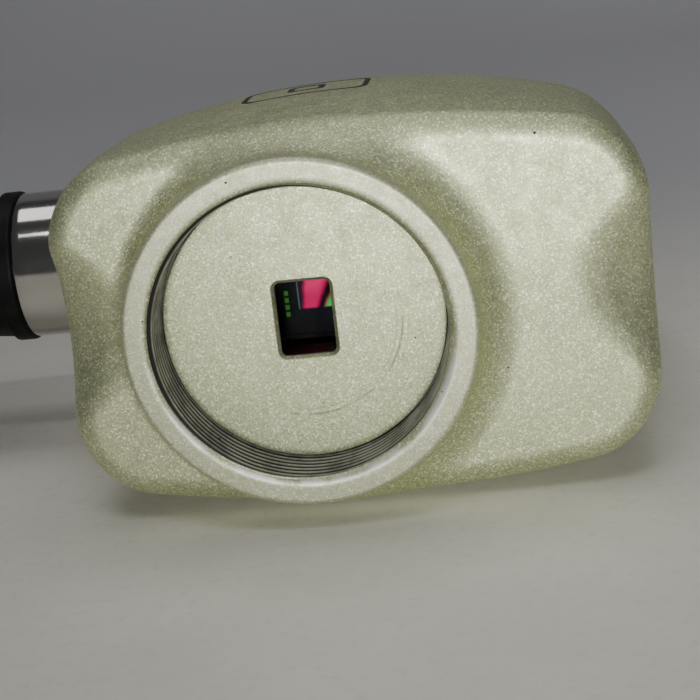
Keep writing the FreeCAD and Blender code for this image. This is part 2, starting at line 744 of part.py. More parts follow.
def crystal():
    """The clock crystal's can, with rounded ends."""
    face_y = VIDEO_BOARD_Y + BOARD_THICKNESS
    width, thickness, height = CRYSTAL
    can = centred_box(width, face_y, face_y + thickness, height, CRYSTAL_X, CRYSTAL_Z)
    uprights = [edge for edge in can.Edges if abs(edge.Vertexes[0].Y - edge.Vertexes[1].Y) > 1]
    return can.makeFillet(CRYSTAL_ROUNDING, uprights)


def processor_chip():
    face_y = VIDEO_BOARD_Y + BOARD_THICKNESS
    return centred_box(PROCESSOR_SIDE, face_y, face_y + PROCESSOR_THICKNESS, PROCESSOR_SIDE, PROCESSOR_X)


def heat_pad():
    face_y = VIDEO_BOARD_Y + BOARD_THICKNESS + PROCESSOR_THICKNESS
    return centred_box(HEAT_PAD_SIDE, face_y, face_y + HEAT_PAD_THICKNESS, HEAT_PAD_SIDE, PROCESSOR_X)


def shield_can():
    """The pressed lid over the processor, resting on the heat pad."""
    face_y = VIDEO_BOARD_Y + BOARD_THICKNESS
    inner = SHIELD_SIDE - 2 * SHIELD_SHEET
    lid_y = face_y + SHIELD_HEIGHT
    can = centred_box(SHIELD_SIDE, face_y, lid_y, SHIELD_SIDE, PROCESSOR_X)
    return can.cut(centred_box(inner, face_y - 1, lid_y - SHIELD_SHEET, inner, PROCESSOR_X))


def cable_header():
    """The keyed socket where the cable's wires plug in, facing the rear."""
    face_y = VIDEO_BOARD_Y + BOARD_THICKNESS
    width, depth, height = HEADER
    top_y = face_y + depth
    floor_y = face_y + HEADER_FLOOR
    pocket = (width - 2 * HEADER_WALL, height - 2 * HEADER_WALL)
    header = centred_box(width, face_y, top_y, height, HEADER_X)
    header = header.cut(centred_box(pocket[0], floor_y, top_y + 1, pocket[1], HEADER_X))
    key_x = HEADER_X - width / 2
    key_y = face_y + HEADER_KEY_BOTTOM
    return header.cut(centred_box(2 * HEADER_WALL + 1, key_y, top_y + 1, HEADER_KEY_WIDTH, key_x))


def header_pins():
    pins = []
    low_y = VIDEO_BOARD_Y + BOARD_THICKNESS + HEADER_FLOOR
    high_y = low_y + HEADER_PIN_LENGTH
    for index in range(HEADER_PIN_COUNT):
        z = (index - (HEADER_PIN_COUNT - 1) / 2) * HEADER_PIN_PITCH
        pins.append(centred_box(HEADER_PIN_SIDE, low_y, high_y, HEADER_PIN_SIDE, HEADER_X, z))
    return Part.makeCompound(pins)


# ---------------------------------------------------------------- cable gland

def gland_ring():
    """The polished collar, with a threaded neck into the housing and a barbed spigot outside."""
    profile = [
        (GLAND_NECK_END_X, RING_BORE_RADIUS),
        (GLAND_NECK_END_X, GLAND_NECK_RADIUS),
        (PAD_OUTER_X, GLAND_NECK_RADIUS),
        (PAD_OUTER_X, GLAND_SEAL_INNER - SEAL_GAP),
        (PAD_OUTER_X - GLAND_SEAL_DEPTH, GLAND_SEAL_INNER - SEAL_GAP),
        (PAD_OUTER_X - GLAND_SEAL_DEPTH, GLAND_SEAL_OUTER + SEAL_GAP),
        (PAD_OUTER_X, GLAND_SEAL_OUTER + SEAL_GAP),
        (PAD_OUTER_X, RING_RADIUS - RING_EDGE),
        (PAD_OUTER_X - RING_EDGE, RING_RADIUS),
        (RING_END_X + RING_EDGE, RING_RADIUS),
        (RING_END_X, RING_RADIUS - RING_EDGE),
        (RING_END_X, SPIGOT_RADIUS),
        (RING_END_X - SPIGOT_BARB_LENGTH, SPIGOT_RADIUS),
        (RING_END_X - SPIGOT_BARB_LENGTH, SPIGOT_BARB_RADIUS),
        (SPIGOT_END_X, SPIGOT_RADIUS - SPIGOT_TIP_STEP),
        (SPIGOT_END_X, RING_BORE_RADIUS),
    ]
    return turned_x(profile)


def gland_seal():
    seal = rod_x(GLAND_SEAL_OUTER, PAD_OUTER_X - GLAND_SEAL_DEPTH, PAD_OUTER_X)
    return seal.cut(rod_x(GLAND_SEAL_INNER, PAD_OUTER_X - 2, PAD_OUTER_X + 1))


def gland_washer():
    washer = rod_x(WASHER_RADIUS, PAD_INNER_X, PAD_INNER_X + WASHER_THICKNESS)
    return washer.cut(rod_x(GLAND_HOLE_RADIUS, PAD_INNER_X - 1, PAD_INNER_X + 2))


def gland_nut():
    start_x = PAD_INNER_X + WASHER_THICKNESS
    nut = hexagon(NUT_FLATS, Vector(start_x, GLAND_Y, GLAND_Z), Vector(1, 0, 0), NUT_THICKNESS)
    return nut.cut(rod_x(GLAND_HOLE_RADIUS, start_x - 1, start_x + NUT_THICKNESS + 1))


def cable_grip():
    """The split collet inside the ring that grips the cable's jacket."""
    grip = rod_x(RING_BORE_RADIUS - SEAL_GAP, RING_END_X, PAD_OUTER_X)
    grip = grip.cut(rod_x(CABLE_BORE_RADIUS, RING_END_X - 1, PAD_OUTER_X + 1))
    half = GRIP_SLOT_WIDTH / 2
    start_x = RING_END_X + GRIP_SLOT_START
    slot = box(start_x, PAD_OUTER_X + 1, GLAND_Y - half, GLAND_Y + half, -RING_RADIUS, RING_RADIUS)
    return grip.cut(slot)


def boot_radius(x):
    """The boot's outer radius: a quick taper after the shoulder, then a slow one to the tip."""
    start = RING_END_X - BOOT_COLLAR_LENGTH
    share = (start - x) / (start - BOOT_END_X)
    return BOOT_TIP_RADIUS + (BOOT_SHOULDER_RADIUS - BOOT_TIP_RADIUS) * (1 - share) ** BOOT_TAPER_POWER


def boot_outline():
    """Outer profile points from the collar to the tip."""
    collar_end = RING_END_X - BOOT_COLLAR_LENGTH
    points = [(RING_END_X, BOOT_COLLAR_RADIUS - BOOT_EDGE), (RING_END_X - BOOT_EDGE, BOOT_COLLAR_RADIUS)]
    points.append((collar_end, BOOT_COLLAR_RADIUS))
    points.append((collar_end - BOOT_EDGE, BOOT_SHOULDER_RADIUS))
    for index in range(1, BOOT_TAPER_STEPS):
        x = collar_end + (BOOT_END_X - collar_end) * index / BOOT_TAPER_STEPS
        points.append((x, boot_radius(x)))
    points.append((BOOT_END_X + BOOT_TIP_EDGE, BOOT_TIP_RADIUS))
    points.append((BOOT_END_X, BOOT_TIP_RADIUS - BOOT_TIP_EDGE))
    return points


def boot_bore():
    """Inner profile points from the tip to the collar: the cable's bore, then the spigot's barbed seat."""
    barb_x = RING_END_X - SPIGOT_BARB_LENGTH
    return [
        (BOOT_END_X, CABLE_BORE_RADIUS),
        (SPIGOT_END_X - BOOT_EDGE, CABLE_BORE_RADIUS),
        (SPIGOT_END_X - BOOT_EDGE, SPIGOT_RADIUS - BOOT_EDGE),
        (barb_x - 2 * SEAL_GAP, SPIGOT_BARB_RADIUS + 2 * SEAL_GAP),
        (barb_x + 2 * SEAL_GAP, SPIGOT_BARB_RADIUS + 2 * SEAL_GAP),
        (barb_x + 2 * SEAL_GAP, SPIGOT_RADIUS + SEAL_GAP),
        (RING_END_X, SPIGOT_RADIUS + SEAL_GAP),
    ]


def flex_slot(x_high, upright):
    """A ring-shaped slot cut into the boot's side, crossed by a rib on two opposite sides."""
    x_low = x_high - BOOT_FLEX_SLOT
    reach = BOOT_COLLAR_RADIUS + 1
    rib = BOOT_RIB_SHARE * BOOT_TIP_RADIUS
    half_y = rib if upright else reach
    half_z = reach if upright else rib
    slot = rod_x(BOOT_COLLAR_RADIUS, x_low, x_high)
    slot = slot.cut(rod_x(CABLE_BORE_RADIUS + BOOT_FLEX_FLOOR, x_low - 1, x_high + 1))
    ribs = box(x_low - 1, x_high + 1, GLAND_Y - half_y, GLAND_Y + half_y, GLAND_Z - half_z, GLAND_Z + half_z)
    return slot.cut(ribs)


def strain_relief_boot():
    """The boot, with flex slots that alternate between its sides and its top and bottom."""
    boot = turned_x(boot_outline() + boot_bore())
    for index in range(2 * BOOT_FLEX_COUNT):
        x = BOOT_FLEX_START_X - index * BOOT_FLEX_PITCH / 2
        boot = boot.cut(flex_slot(x, index % 2 == 1))
    return boot


# ---------------------------------------------------------------- export

NODES = {
    "front_housing": front_housing,
    "rear_cover": rear_cover,
    "rear_seal": rear_seal,
    "cover_screws": cover_screws,
    "screw_plugs": screw_plugs,
    "aperture_plate": aperture_plate,
    "filter_seal": filter_seal,
    "filter_glass": filter_glass,
    "light_baffle": light_baffle,
    "sensor_seal": sensor_seal,
    "sensor_cover_glass": sensor_cover_glass,
    "sensor_package": sensor_package,
    "sensor_die": sensor_die,
    "sensor_bond_pads": sensor_bond_pads,
    "sensor_leads": sensor_leads,
    "thermal_pad": thermal_pad,
    "sensor_board": sensor_board,
    "sensor_board_chips": sensor_board_chips,
    "front_posts": front_posts,
    "board_posts": board_posts,
    "board_screws": board_screws,
    "connector_plug": connector_plug,
    "connector_socket": connector_socket,
    "video_board": video_board,
    "video_board_chips": video_board_chips,
    "crystal": crystal,
    "processor_chip": processor_chip,
    "heat_pad": heat_pad,
    "shield_can": shield_can,
    "cable_header": cable_header,
    "header_pins": header_pins,
    "gland_ring": gland_ring,
    "gland_seal": gland_seal,
    "gland_washer": gland_washer,
    "gland_nut": gland_nut,
    "cable_grip": cable_grip,
    "strain_relief_boot": strain_relief_boot,
}

os.makedirs("parts", exist_ok=True)
for name, make in NODES.items():
    shape = make()
    valid = shape.isValid()
    print(name, "solids", len(shape.Solids), "valid", valid, "volume", round(shape.Volume, 2))
    shape.exportStep("parts/" + name + ".step")
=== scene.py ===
import json
import math

import bmesh
import bpy
import numpy as np
from mathutils import Euler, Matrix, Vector


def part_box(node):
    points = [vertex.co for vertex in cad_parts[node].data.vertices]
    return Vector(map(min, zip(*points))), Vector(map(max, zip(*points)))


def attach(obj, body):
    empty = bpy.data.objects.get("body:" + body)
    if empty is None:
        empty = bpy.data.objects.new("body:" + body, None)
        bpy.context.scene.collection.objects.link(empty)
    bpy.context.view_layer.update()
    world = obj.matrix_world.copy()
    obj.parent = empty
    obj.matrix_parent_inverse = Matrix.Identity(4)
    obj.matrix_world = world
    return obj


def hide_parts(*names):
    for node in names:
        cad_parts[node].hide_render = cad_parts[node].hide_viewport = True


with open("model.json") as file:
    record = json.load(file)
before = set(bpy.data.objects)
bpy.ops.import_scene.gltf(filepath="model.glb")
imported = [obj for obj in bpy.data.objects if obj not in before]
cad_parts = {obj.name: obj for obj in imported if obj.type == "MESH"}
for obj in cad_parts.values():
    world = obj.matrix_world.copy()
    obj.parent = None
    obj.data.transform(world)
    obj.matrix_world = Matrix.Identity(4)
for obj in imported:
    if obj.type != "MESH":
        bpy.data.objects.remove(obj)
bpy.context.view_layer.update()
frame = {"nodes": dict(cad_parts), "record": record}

# The camera head's visible pieces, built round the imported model.
# Shapes are worked out in millimetres in the model's own frame and scaled to metres when a mesh is made.

MM = 0.001
BODY = "root"

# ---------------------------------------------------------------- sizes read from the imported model


def box_mm(node):
    """A CAD node's lowest and highest corners, in millimetres."""
    low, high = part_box(node)
    return np.array(low) / MM, np.array(high) / MM


HOUSING_LOW, HOUSING_HIGH = box_mm("front_housing")
COVER_LOW, COVER_HIGH = box_mm("rear_cover")
PLATE_LOW, PLATE_HIGH = box_mm("aperture_plate")
RING_LOW, RING_HIGH = box_mm("gland_ring")
BOOT_LOW, BOOT_HIGH = box_mm("strain_relief_boot")
PLUGS_LOW, PLUGS_HIGH = box_mm("screw_plugs")
MOUNTS = {mount["name"]: mount for mount in frame["record"]["mounts"]}

SEAM_Y = HOUSING_HIGH[1]
BACK_Y = COVER_HIGH[1]
HALF_HEIGHT = HOUSING_HIGH[2]
PLATE_FRONT_Y = PLATE_LOW[1]
PLATE_RADIUS = PLATE_HIGH[0]
GLAND_Y = (RING_LOW[1] + RING_HIGH[1]) / 2
GLAND_Z = (RING_LOW[2] + RING_HIGH[2]) / 2
RING_RADIUS = (RING_HIGH[2] - RING_LOW[2]) / 2
CREST_RADIUS = MOUNTS["lens_port"]["dims"]["r_mm"]
CABLE_RADIUS = MOUNTS["cable_bore"]["dims"]["r_mm"]

# ---------------------------------------------------------------- the body's own proportions

FACE_Y = 4.8
BULGE_Y = 18.0
CENTRE_X = 4.2
HALF_WIDTH = 25.8
SIDE_BULGE_RADIUS = 200.0
TOP_BULGE_RADIUS = 90.0
FACE_CROWN_RADIUS = 125.0
CROWN_RADIUS = 76.0
CORNER_RADIUS = 6.0
FACE_ROUNDING = 2.2
BACK_ROUNDING = 3.5
WALL = 2.4
INNER_FRONT_Y = 8.3

SCALLOP_RADIUS = 11.0
SCALLOP_START_X = 20.3
SCALLOP_SLOPE = math.radians(36.0)
SCALLOP_Z = 0.5
SCALLOP_SOFTNESS = 1.2

RING_WALL_RADIUS = 14.85
RING_LIP_ROUNDING = 0.5
RING_FOOT_RADII = (1.9, 3.8)
RING_FOOT_SPAN_X = (-14.0, 6.0)
LIP_RADIUS = 12.85
THREAD_PITCH = 25.4 / 32
THREAD_START_Y = 0.4
THREAD_END_Y = 5.6
THREAD_DEPTH = 0.43
THREAD_STEPS_PER_TURN = 12
TOOTH_HEIGHT = 1.25
TOOTH_SLOPE = 3.0
THREAD_RUN_OUT = 0.25
THREAD_RUN_OUT_DEPTH = 0.1
RELIEF_RADIUS = 12.75
SHOULDER_Y = 6.3
INNER_BORE_RADIUS = 9.5

PAD_RADIUS = 8.4
PAD_TOP_X = -22.4
PAD_RAMP = 0.7
PAD_SIDE_X = -15.0

# ---------------------------------------------------------------- camera

CAMERA_LENS = 92.08
CAMERA_PLACE = (17.92, -140.28, 39.06)
CAMERA_TURN = (73.837, 6.485, 3.774)


def make_camera():
    """Looks into the port from the front, a little above and to the right, with the picture rolled slightly."""
    data = bpy.data.cameras.new("camera")
    data.lens = CAMERA_LENS
    data.sensor_width = 36.0
    data.clip_start = 0.01
    camera = bpy.data.objects.new("camera", data)
    camera.location = Vector(CAMERA_PLACE) * MM
    camera.rotation_euler = Euler([math.radians(turn) for turn in CAMERA_TURN])
    bpy.context.scene.collection.objects.link(camera)
    bpy.context.scene.camera = camera


# ---------------------------------------------------------------- implicit shapes

SEARCH_STEPS = 34
BODY_REACH = 60.0
CURVE_REACH = 80.0


def round_max(a, b, radius):
    """The overlap of two solids, with the edge between them rounded to this radius."""
    over_a = np.maximum(a + radius, 0)
    over_b = np.maximum(b + radius, 0)
    return np.minimum(-radius, np.maximum(a, b)) + np.hypot(over_a, over_b)


def round_min(a, b, radius):
    """The union of two solids, with a concave fillet of this radius where they meet."""
    under_a = np.maximum(radius - a, 0)
    under_b = np.maximum(radius - b, 0)
    return np.maximum(radius, np.minimum(a, b)) - np.hypot(under_a, under_b)


def soft_step(value, low, high):
    share = np.clip((value - low) / (high - low), 0, 1)
    return share * share * (3 - 2 * share)


def bulge_drop(y, radius):
    return radius - np.sqrt(radius ** 2 - (y - BULGE_Y) ** 2)


def crown_radius(y):
    """The top's sideways curve: flattest at the face, tightening up to the bulge."""
    share = np.clip((y - FACE_Y) / (BULGE_Y - FACE_Y), 0, 1)
    return 1 / ((1 - share) / FACE_CROWN_RADIUS + share / CROWN_RADIUS)


def section_field(x, y, z, inset=0.0):
    """Negative inside the body's cross-section: crowned top and bottom, straight sides, round corners."""
    half_w = HALF_WIDTH - bulge_drop(y, SIDE_BULGE_RADIUS) - inset
    half_h = HALF_HEIGHT - bulge_drop(y, TOP_BULGE_RADIUS) - inset
    crown = crown_radius(y) - inset
    top = np.hypot(x - CENTRE_X, np.abs(z) + crown - half_h) - crown
    side = np.abs(x - CENTRE_X) - half_w
    return round_max(top, side, CORNER_RADIUS - inset)


def scallop_distance(side, x, y, z):
    """Distance from the axis of one scallop, a round groove running out and back over the face's edge."""
    across = side * (x - CENTRE_X) - SCALLOP_START_X
    depth = (y - FACE_Y) * math.cos(SCALLOP_SLOPE) - across * math.sin(SCALLOP_SLOPE) + SCALLOP_RADIUS
    return np.hypot(depth, z - SCALLOP_Z)


def body_field(x, y, z):
    """Negative inside the painted body, ring and scallops included."""
    body = round_max(section_field(x, y, z), FACE_Y - y, FACE_ROUNDING)
    body = round_max(body, y - BACK_Y, BACK_ROUNDING)
    for side in (-1, 1):
        body = round_max(body, SCALLOP_RADIUS - scallop_distance(side, x, y, z), SCALLOP_SOFTNESS)
    ring = round_max(np.hypot(x, z) - RING_WALL_RADIUS, -y, RING_LIP_ROUNDING)
    ring = np.maximum(ring, y - INNER_FRONT_Y)
    narrow, wide = RING_FOOT_RADII
    return round_min(body, ring, narrow + (wide - narrow) * soft_step(x, *RING_FOOT_SPAN_X))


def first_crossing(field, origin, direction, reach):
    """Distance along each ray at which the field turns positive, by bisection. The origins are inside."""
    low = np.zeros(direction.shape[:-1])
    high = np.full(direction.shape[:-1], float(reach))
    for _ in range(SEARCH_STEPS):
        middle = (low + high) / 2
        point = origin + direction * middle[..., None]
        inside = field(point[..., 0], point[..., 1], point[..., 2]) < 0
        low = np.where(inside, middle, low)
        high = np.where(inside, high, middle)
    return (low + high) / 2


def full_turn(count):
    """Angles evenly spaced round a circle."""
    return np.linspace(0, 2 * math.pi, count, endpoint=False)


def spokes(angles):
    """Unit directions away from an axis along Y."""
    return np.stack([np.cos(angles), np.zeros_like(angles), np.sin(angles)], -1)


def half_plane_curves(field, angles, axis_x, centre, start_angle, end_angle, count):
    """Outlines of a field in half-planes through an axis along Y, traced as rays from one point of each.

    centre is (radius, y) in the half-plane; the rays turn from start_angle to end_angle,
    where 0 points away from the axis and positive turns towards +Y."""
    radial = spokes(angles)
    turns = np.linspace(0, 1, count)[None, :] * (end_angle - start_angle)[:, None] + start_angle[:, None]
    direction = np.cos(turns)[..., None] * radial[:, None, :]
    direction = direction + np.sin(turns)[..., None] * np.array([0.0, 1.0, 0.0])
    origin = np.array([axis_x, centre[1], 0.0]) + centre[0] * radial[:, None, :]
    return origin + direction * first_crossing(field, origin, direction, CURVE_REACH)[..., None]


def resampled(curves, count, crowding):
    """Spaces each polyline's points anew, by length and, weighted by crowding, by how sharply it turns."""
    steps = np.diff(curves, axis=1)
    lengths = np.linalg.norm(steps, axis=-1)
    unit = steps / np.maximum(lengths[..., None], 1e-9)
    bends = np.linalg.norm(np.diff(unit, axis=1), axis=-1)
    weight = lengths.copy()
    weight[:, 1:] += crowding * bends
    total = np.concatenate([np.zeros((len(curves), 1)), np.cumsum(weight, axis=1)], axis=1)
    result = np.empty((len(curves), count, 3))
    for row, marks in enumerate(total):
        wanted = np.linspace(0, marks[-1], count)
        for axis in range(3):
            result[row, :, axis] = np.interp(wanted, marks, curves[row, :, axis])
    return result


# ---------------------------------------------------------------- mesh helpers


def new_object(name, vertices, faces):
    """A mesh object from millimetre vertices, in the scene."""
    mesh = bpy.data.meshes.new(name)
    mesh.from_pydata([tuple(vertex) for vertex in np.asarray(vertices) * MM], [], faces)
    mesh.validate()
    piece = bpy.data.objects.new(name, mesh)
    bpy.context.scene.collection.objects.link(piece)
    make_outward(piece)
    mesh.polygons.foreach_set("use_smooth", [True] * len(mesh.polygons))
    return piece


def make_outward(piece):
    """Joins vertices that lie on each other and turns every face's normal outwards."""
    bm = bmesh.new()
    bm.from_mesh(piece.data)
    bmesh.ops.remove_doubles(bm, verts=bm.verts, dist=1e-8)
    bmesh.ops.recalc_face_normals(bm, faces=bm.faces)
    bm.to_mesh(piece.data)
    bm.free()


def grid_faces(rows, columns, close_rows, close_columns, offset=0):
    """Quads of a grid whose vertex index is row * columns + column."""
    faces = []
    for row in range(rows if close_rows else rows - 1):
        here = offset + row * columns
        ahead = offset + (row + 1) % rows * columns
        for column in range(columns if close_columns else columns - 1):
            after = (column + 1) % columns
            faces.append((here + column, here + after, ahead + after, ahead + column))
    return faces


def sharpen(piece, angle):
    """Smooth shading that still breaks at real edges."""
    piece.data.set_sharp_from_angle(angle=math.radians(angle))


def finish_piece(piece, material, replaced=()):
    piece.data.materials.clear()
    piece.data.materials.append(material)
    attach(piece, BODY)
    if replaced:
        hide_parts(*replaced)
    return piece


# ---------------------------------------------------------------- housing

ANGLE_COUNT = 432
OUTLINE_STEPS = 640
OUTLINE_RINGS = 250
OUTLINE_CROWDING = 3.2
HOUSING_CORE = (11.0, 9.0)
LIP_LAND = 0.2
LIP_LAND_Y = 0.12
CHAMFER_RINGS = ((CREST_RADIUS + 0.38, 0.22), (LIP_RADIUS + 0.02, 0.06))
SEAM_EDGE = 0.3
SEAM_CHAMFER = (0.08, 0.12)
INNER_WALL_RINGS = 25
HOUSING_CREASE = 50.0


def outline_radius(angles, y, inset):
    """Distance from the port axis to the body's section, inset, in each direction."""
    direction = spokes(angles)
    origin = np.array([0.0, y, 0.0]) + 0 * direction

    def field(x, depth, z):
        body = section_field(x, depth, z, inset)
        for side in (-1, 1):
            body = np.maximum(body, SCALLOP_RADIUS + inset - scallop_distance(side, x, depth, z))
        return body

    return first_crossing(field, origin, direction, BODY_REACH)


def circle_ring(radius, y, angles):
    return np.stack([radius * np.cos(angles), np.full_like(angles, y), radius * np.sin(angles)], -1)


def section_ring(angles, y, inset):
    return circle_ring(outline_radius(angles, y, inset), y, angles)


def raise_pad(points):
    """Lifts the side wall into the flat round pad that the gland seats on."""
    distance = np.hypot(points[..., 1] - GLAND_Y, points[..., 2] - GLAND_Z)
    share = soft_step(PAD_RADIUS - distance, 0, PAD_RAMP)
    on_side = points[..., 0] < PAD_SIDE_X
    lifted = points[..., 0] + (PAD_TOP_X - points[..., 0]) * share
    points[..., 0] = np.where(on_side, np.minimum(points[..., 0], lifted), points[..., 0])
    return points


def thread_rings(angles):
    """The helical bore thread, from the inner end out to the lip chamfer."""
    rings = []
    count = int((THREAD_END_Y - THREAD_START_Y) / THREAD_PITCH * THREAD_STEPS_PER_TURN)
    for index in range(count + 1):
        y = THREAD_END_Y + (THREAD_START_Y - THREAD_END_Y) * index / count
        phase = (y / THREAD_PITCH + angles / (2 * math.pi)) % 1.0
        tooth = np.clip(TOOTH_HEIGHT - np.abs(phase - 0.5) * TOOTH_SLOPE, 0, 1)
        full = np.clip((y - THREAD_START_Y) / THREAD_RUN_OUT, 0, 1)
        radius = CREST_RADIUS + THREAD_DEPTH * (1 - tooth) + (1 - full) * THREAD_RUN_OUT_DEPTH
        rings.append(circle_ring(radius, y, angles))
    return rings


def make_housing(material):
    """The painted shell as one closed tube: lip, outside, seam, inside wall, port shoulder and thread."""
    angles = full_turn(ANGLE_COUNT)
    core_radius, core_y = HOUSING_CORE
    start_angle = math.atan2(LIP_LAND_Y - core_y, LIP_RADIUS + LIP_LAND - core_radius)
    start = np.full_like(angles, start_angle)
    seam_radius = outline_radius(angles, SEAM_Y - SEAM_EDGE, 0.0)
    end = np.arctan2(SEAM_Y - SEAM_EDGE - core_y, seam_radius - core_radius)
    curves = half_plane_curves(body_field, angles, 0.0, HOUSING_CORE, start, end, OUTLINE_STEPS)
    outer = raise_pad(resampled(curves, OUTLINE_RINGS, OUTLINE_CROWDING))
    rings = [circle_ring(radius, y, angles) for radius, y in CHAMFER_RINGS]
    rings = rings + [outer[:, index, :] for index in range(outer.shape[1])]
    rings.append(section_ring(angles, SEAM_Y - SEAM_CHAMFER[0], SEAM_CHAMFER[1]))
    rings.append(section_ring(angles, SEAM_Y, SEAM_EDGE))
    rings.append(section_ring(angles, SEAM_Y, WALL))
    for share in np.linspace(0, 1, INNER_WALL_RINGS)[1:]:
        rings.append(section_ring(angles, SEAM_Y + (INNER_FRONT_Y - SEAM_Y) * share, WALL))
    rings.append(circle_ring(INNER_BORE_RADIUS, INNER_FRONT_Y, angles))
    rings.append(circle_ring(INNER_BORE_RADIUS, SHOULDER_Y, angles))
    rings.append(circle_ring(RELIEF_RADIUS, SHOULDER_Y, angles))
    rings.append(circle_ring(RELIEF_RADIUS, THREAD_END_Y + 0.1, angles))
    rings = rings + thread_rings(angles)
    vertices = np.concatenate(rings)
    faces = grid_faces(len(rings), ANGLE_COUNT, True, True)
    piece = new_object("housing", vertices, faces)
    sharpen(piece, HOUSING_CREASE)
    return finish_piece(piece, material, ["front_housing"])


# ---------------------------------------------------------------- rear cover

COVER_SEGMENTS = 288
COVER_STEPS = 300
COVER_RINGS = 70
COVER_CROWDING = 4.0
COVER_CORE_SETBACK = 6.0
COVER_POLE_GAP = 0.01
COVER_FLOOR_INSET = 3.0
COVER_WALL_RUN = 5
COVER_CREASE = 40.0

PLUG_HOLE_RADIUS = 2.1
PLUG_GAP = 0.07
PLUG_SINK = 0.12
PLUG_SEGMENTS = 48
PLUG_DOME = ((0.3, 0.0), (0.6, 0.0), (0.86, 0.0), (0.95, 0.03), (0.99, 0.1), (1.0, 0.2))
PLUG_CREASE = 50.0
HOLE_SEGMENTS = 64


def make_cover(material):
    """The rear cover, a dish closed by one point outside and one inside, with its four screw holes."""
    angles = full_turn(COVER_SEGMENTS)
    centre = (0.0, SEAM_Y - COVER_CORE_SETBACK)
    direction = spokes(angles)
    origin = np.array([CENTRE_X, SEAM_Y + SEAM_EDGE, 0.0]) + 0 * direction
    seam_radius = first_crossing(section_field, origin, direction, BODY_REACH)
    start = np.arctan2(SEAM_Y + SEAM_EDGE - centre[1], seam_radius)
    end = np.full_like(angles, math.pi / 2 - COVER_POLE_GAP)
    curves = half_plane_curves(body_field, angles, CENTRE_X, centre, start, end, COVER_STEPS)
    outer = resampled(curves, COVER_RINGS, COVER_CROWDING)

    def ring(y, inset):
        def field(x, depth, z):
            return section_field(x, depth, z, inset)

        level = np.array([CENTRE_X, y, 0.0]) + 0 * direction
        return level + direction * first_crossing(field, level, direction, BODY_REACH)[:, None]

    rings = [ring(BACK_Y - WALL, WALL + COVER_FLOOR_INSET), ring(SEAM_Y + COVER_WALL_RUN, WALL)]
    rings = rings + [ring(SEAM_Y, WALL), ring(SEAM_Y, SEAM_EDGE)]
    rings.append(ring(SEAM_Y + SEAM_CHAMFER[0], SEAM_CHAMFER[1]))
    rings = rings + [outer[:, index, :] for index in range(outer.shape[1])]
    poles = [[CENTRE_X, BACK_Y - WALL, 0.0], [CENTRE_X, BACK_Y, 0.0]]
    vertices = np.concatenate(rings + [poles])
    faces = grid_faces(len(rings), COVER_SEGMENTS, False, True)
    inner_pole = len(rings) * COVER_SEGMENTS
    last = inner_pole - COVER_SEGMENTS
    for column in range(COVER_SEGMENTS):
        after = (column + 1) % COVER_SEGMENTS
        faces.append((inner_pole, after, column))
        faces.append((inner_pole + 1, last + column, last + after))
    piece = new_object("cover", vertices, faces)
    for place in plug_places():
        cut_round_hole(piece, place, PLUG_HOLE_RADIUS, BACK_Y - 7.0, BACK_Y + 2.0)
    sharpen(piece, COVER_CREASE)
    return finish_piece(piece, material, ["rear_cover"])


def plug_places():
    """The screw plugs' axes, from the CAD node's corners."""
    places = []
    for x in (PLUGS_LOW[0] + PLUG_HOLE_RADIUS, PLUGS_HIGH[0] - PLUG_HOLE_RADIUS):
        for z in (PLUGS_LOW[2] + PLUG_HOLE_RADIUS, PLUGS_HIGH[2] - PLUG_HOLE_RADIUS):
            places.append((x, z))
    return places


def cut_round_hole(piece, place, radius, y_low, y_high):
    """Bores a plain hole along Y with an exact boolean."""
    angles = full_turn(HOLE_SEGMENTS)
    rings = []
    for y in (y_low, y_high):
        rings.append(circle_ring(radius, y, angles) + np.array([place[0], 0.0, place[1]]))
    faces = grid_faces(2, HOLE_SEGMENTS, False, True)
    faces.append(tuple(range(HOLE_SEGMENTS)))
    faces.append(tuple(range(2 * HOLE_SEGMENTS - 1, HOLE_SEGMENTS - 1, -1)))
    cutter = new_object("cutter", np.concatenate(rings), faces)
    cut = piece.modifiers.new("hole", "BOOLEAN")
    cut.operation = "DIFFERENCE"
    cut.solver = "EXACT"
    cut.object = cutter
    apply_modifiers(piece)
    bpy.data.objects.remove(cutter, do_unlink=True)


def apply_modifiers(piece):
    """Swaps the piece's mesh for its modifiers' result."""
    graph = bpy.context.evaluated_depsgraph_get()
    graph.update()
    made = bpy.data.meshes.new_from_object(piece.evaluated_get(graph))
    piece.modifiers.clear()
    piece.data = made


def make_plugs(material):
    """Four rubber plugs, domed with the cover's own surface and sunk a little below it."""
    angles = full_turn(PLUG_SEGMENTS)
    radius = PLUG_HOLE_RADIUS - PLUG_GAP
    inside_y = SEAM_Y + 1
    vertices = []
    faces = []
    for place in plug_places():
        rings = []
        for share, sink in PLUG_DOME:
            ring = circle_ring(radius * share, 0.0, angles) + np.array([place[0], 0.0, place[1]])
            origin = ring + np.array([0.0, inside_y, 0.0])
            backward = np.array([0.0, 1.0, 0.0]) + 0 * ring
            surface_y = inside_y + first_crossing(body_field, origin, backward, 20.0)
            ring[:, 1] = surface_y - PLUG_SINK - sink
            rings.append(ring)
        floor = rings[-1].copy()
        floor[:, 1] = PLUGS_LOW[1]
        rings.append(floor)
        first = len(vertices)
        last = first + (len(rings) - 1) * PLUG_SEGMENTS
        faces = faces + grid_faces(len(rings), PLUG_SEGMENTS, False, True, first)
        faces.append(tuple(first + index for index in range(PLUG_SEGMENTS)))
        faces.append(tuple(last + index for index in reversed(range(PLUG_SEGMENTS))))
        vertices = vertices + [tuple(point) for point in np.concatenate(rings)]
    piece = new_object("plugs", vertices, faces)
    sharpen(piece, PLUG_CREASE)
    return finish_piece(piece, material, ["screw_plugs"])


# ---------------------------------------------------------------- aperture plate

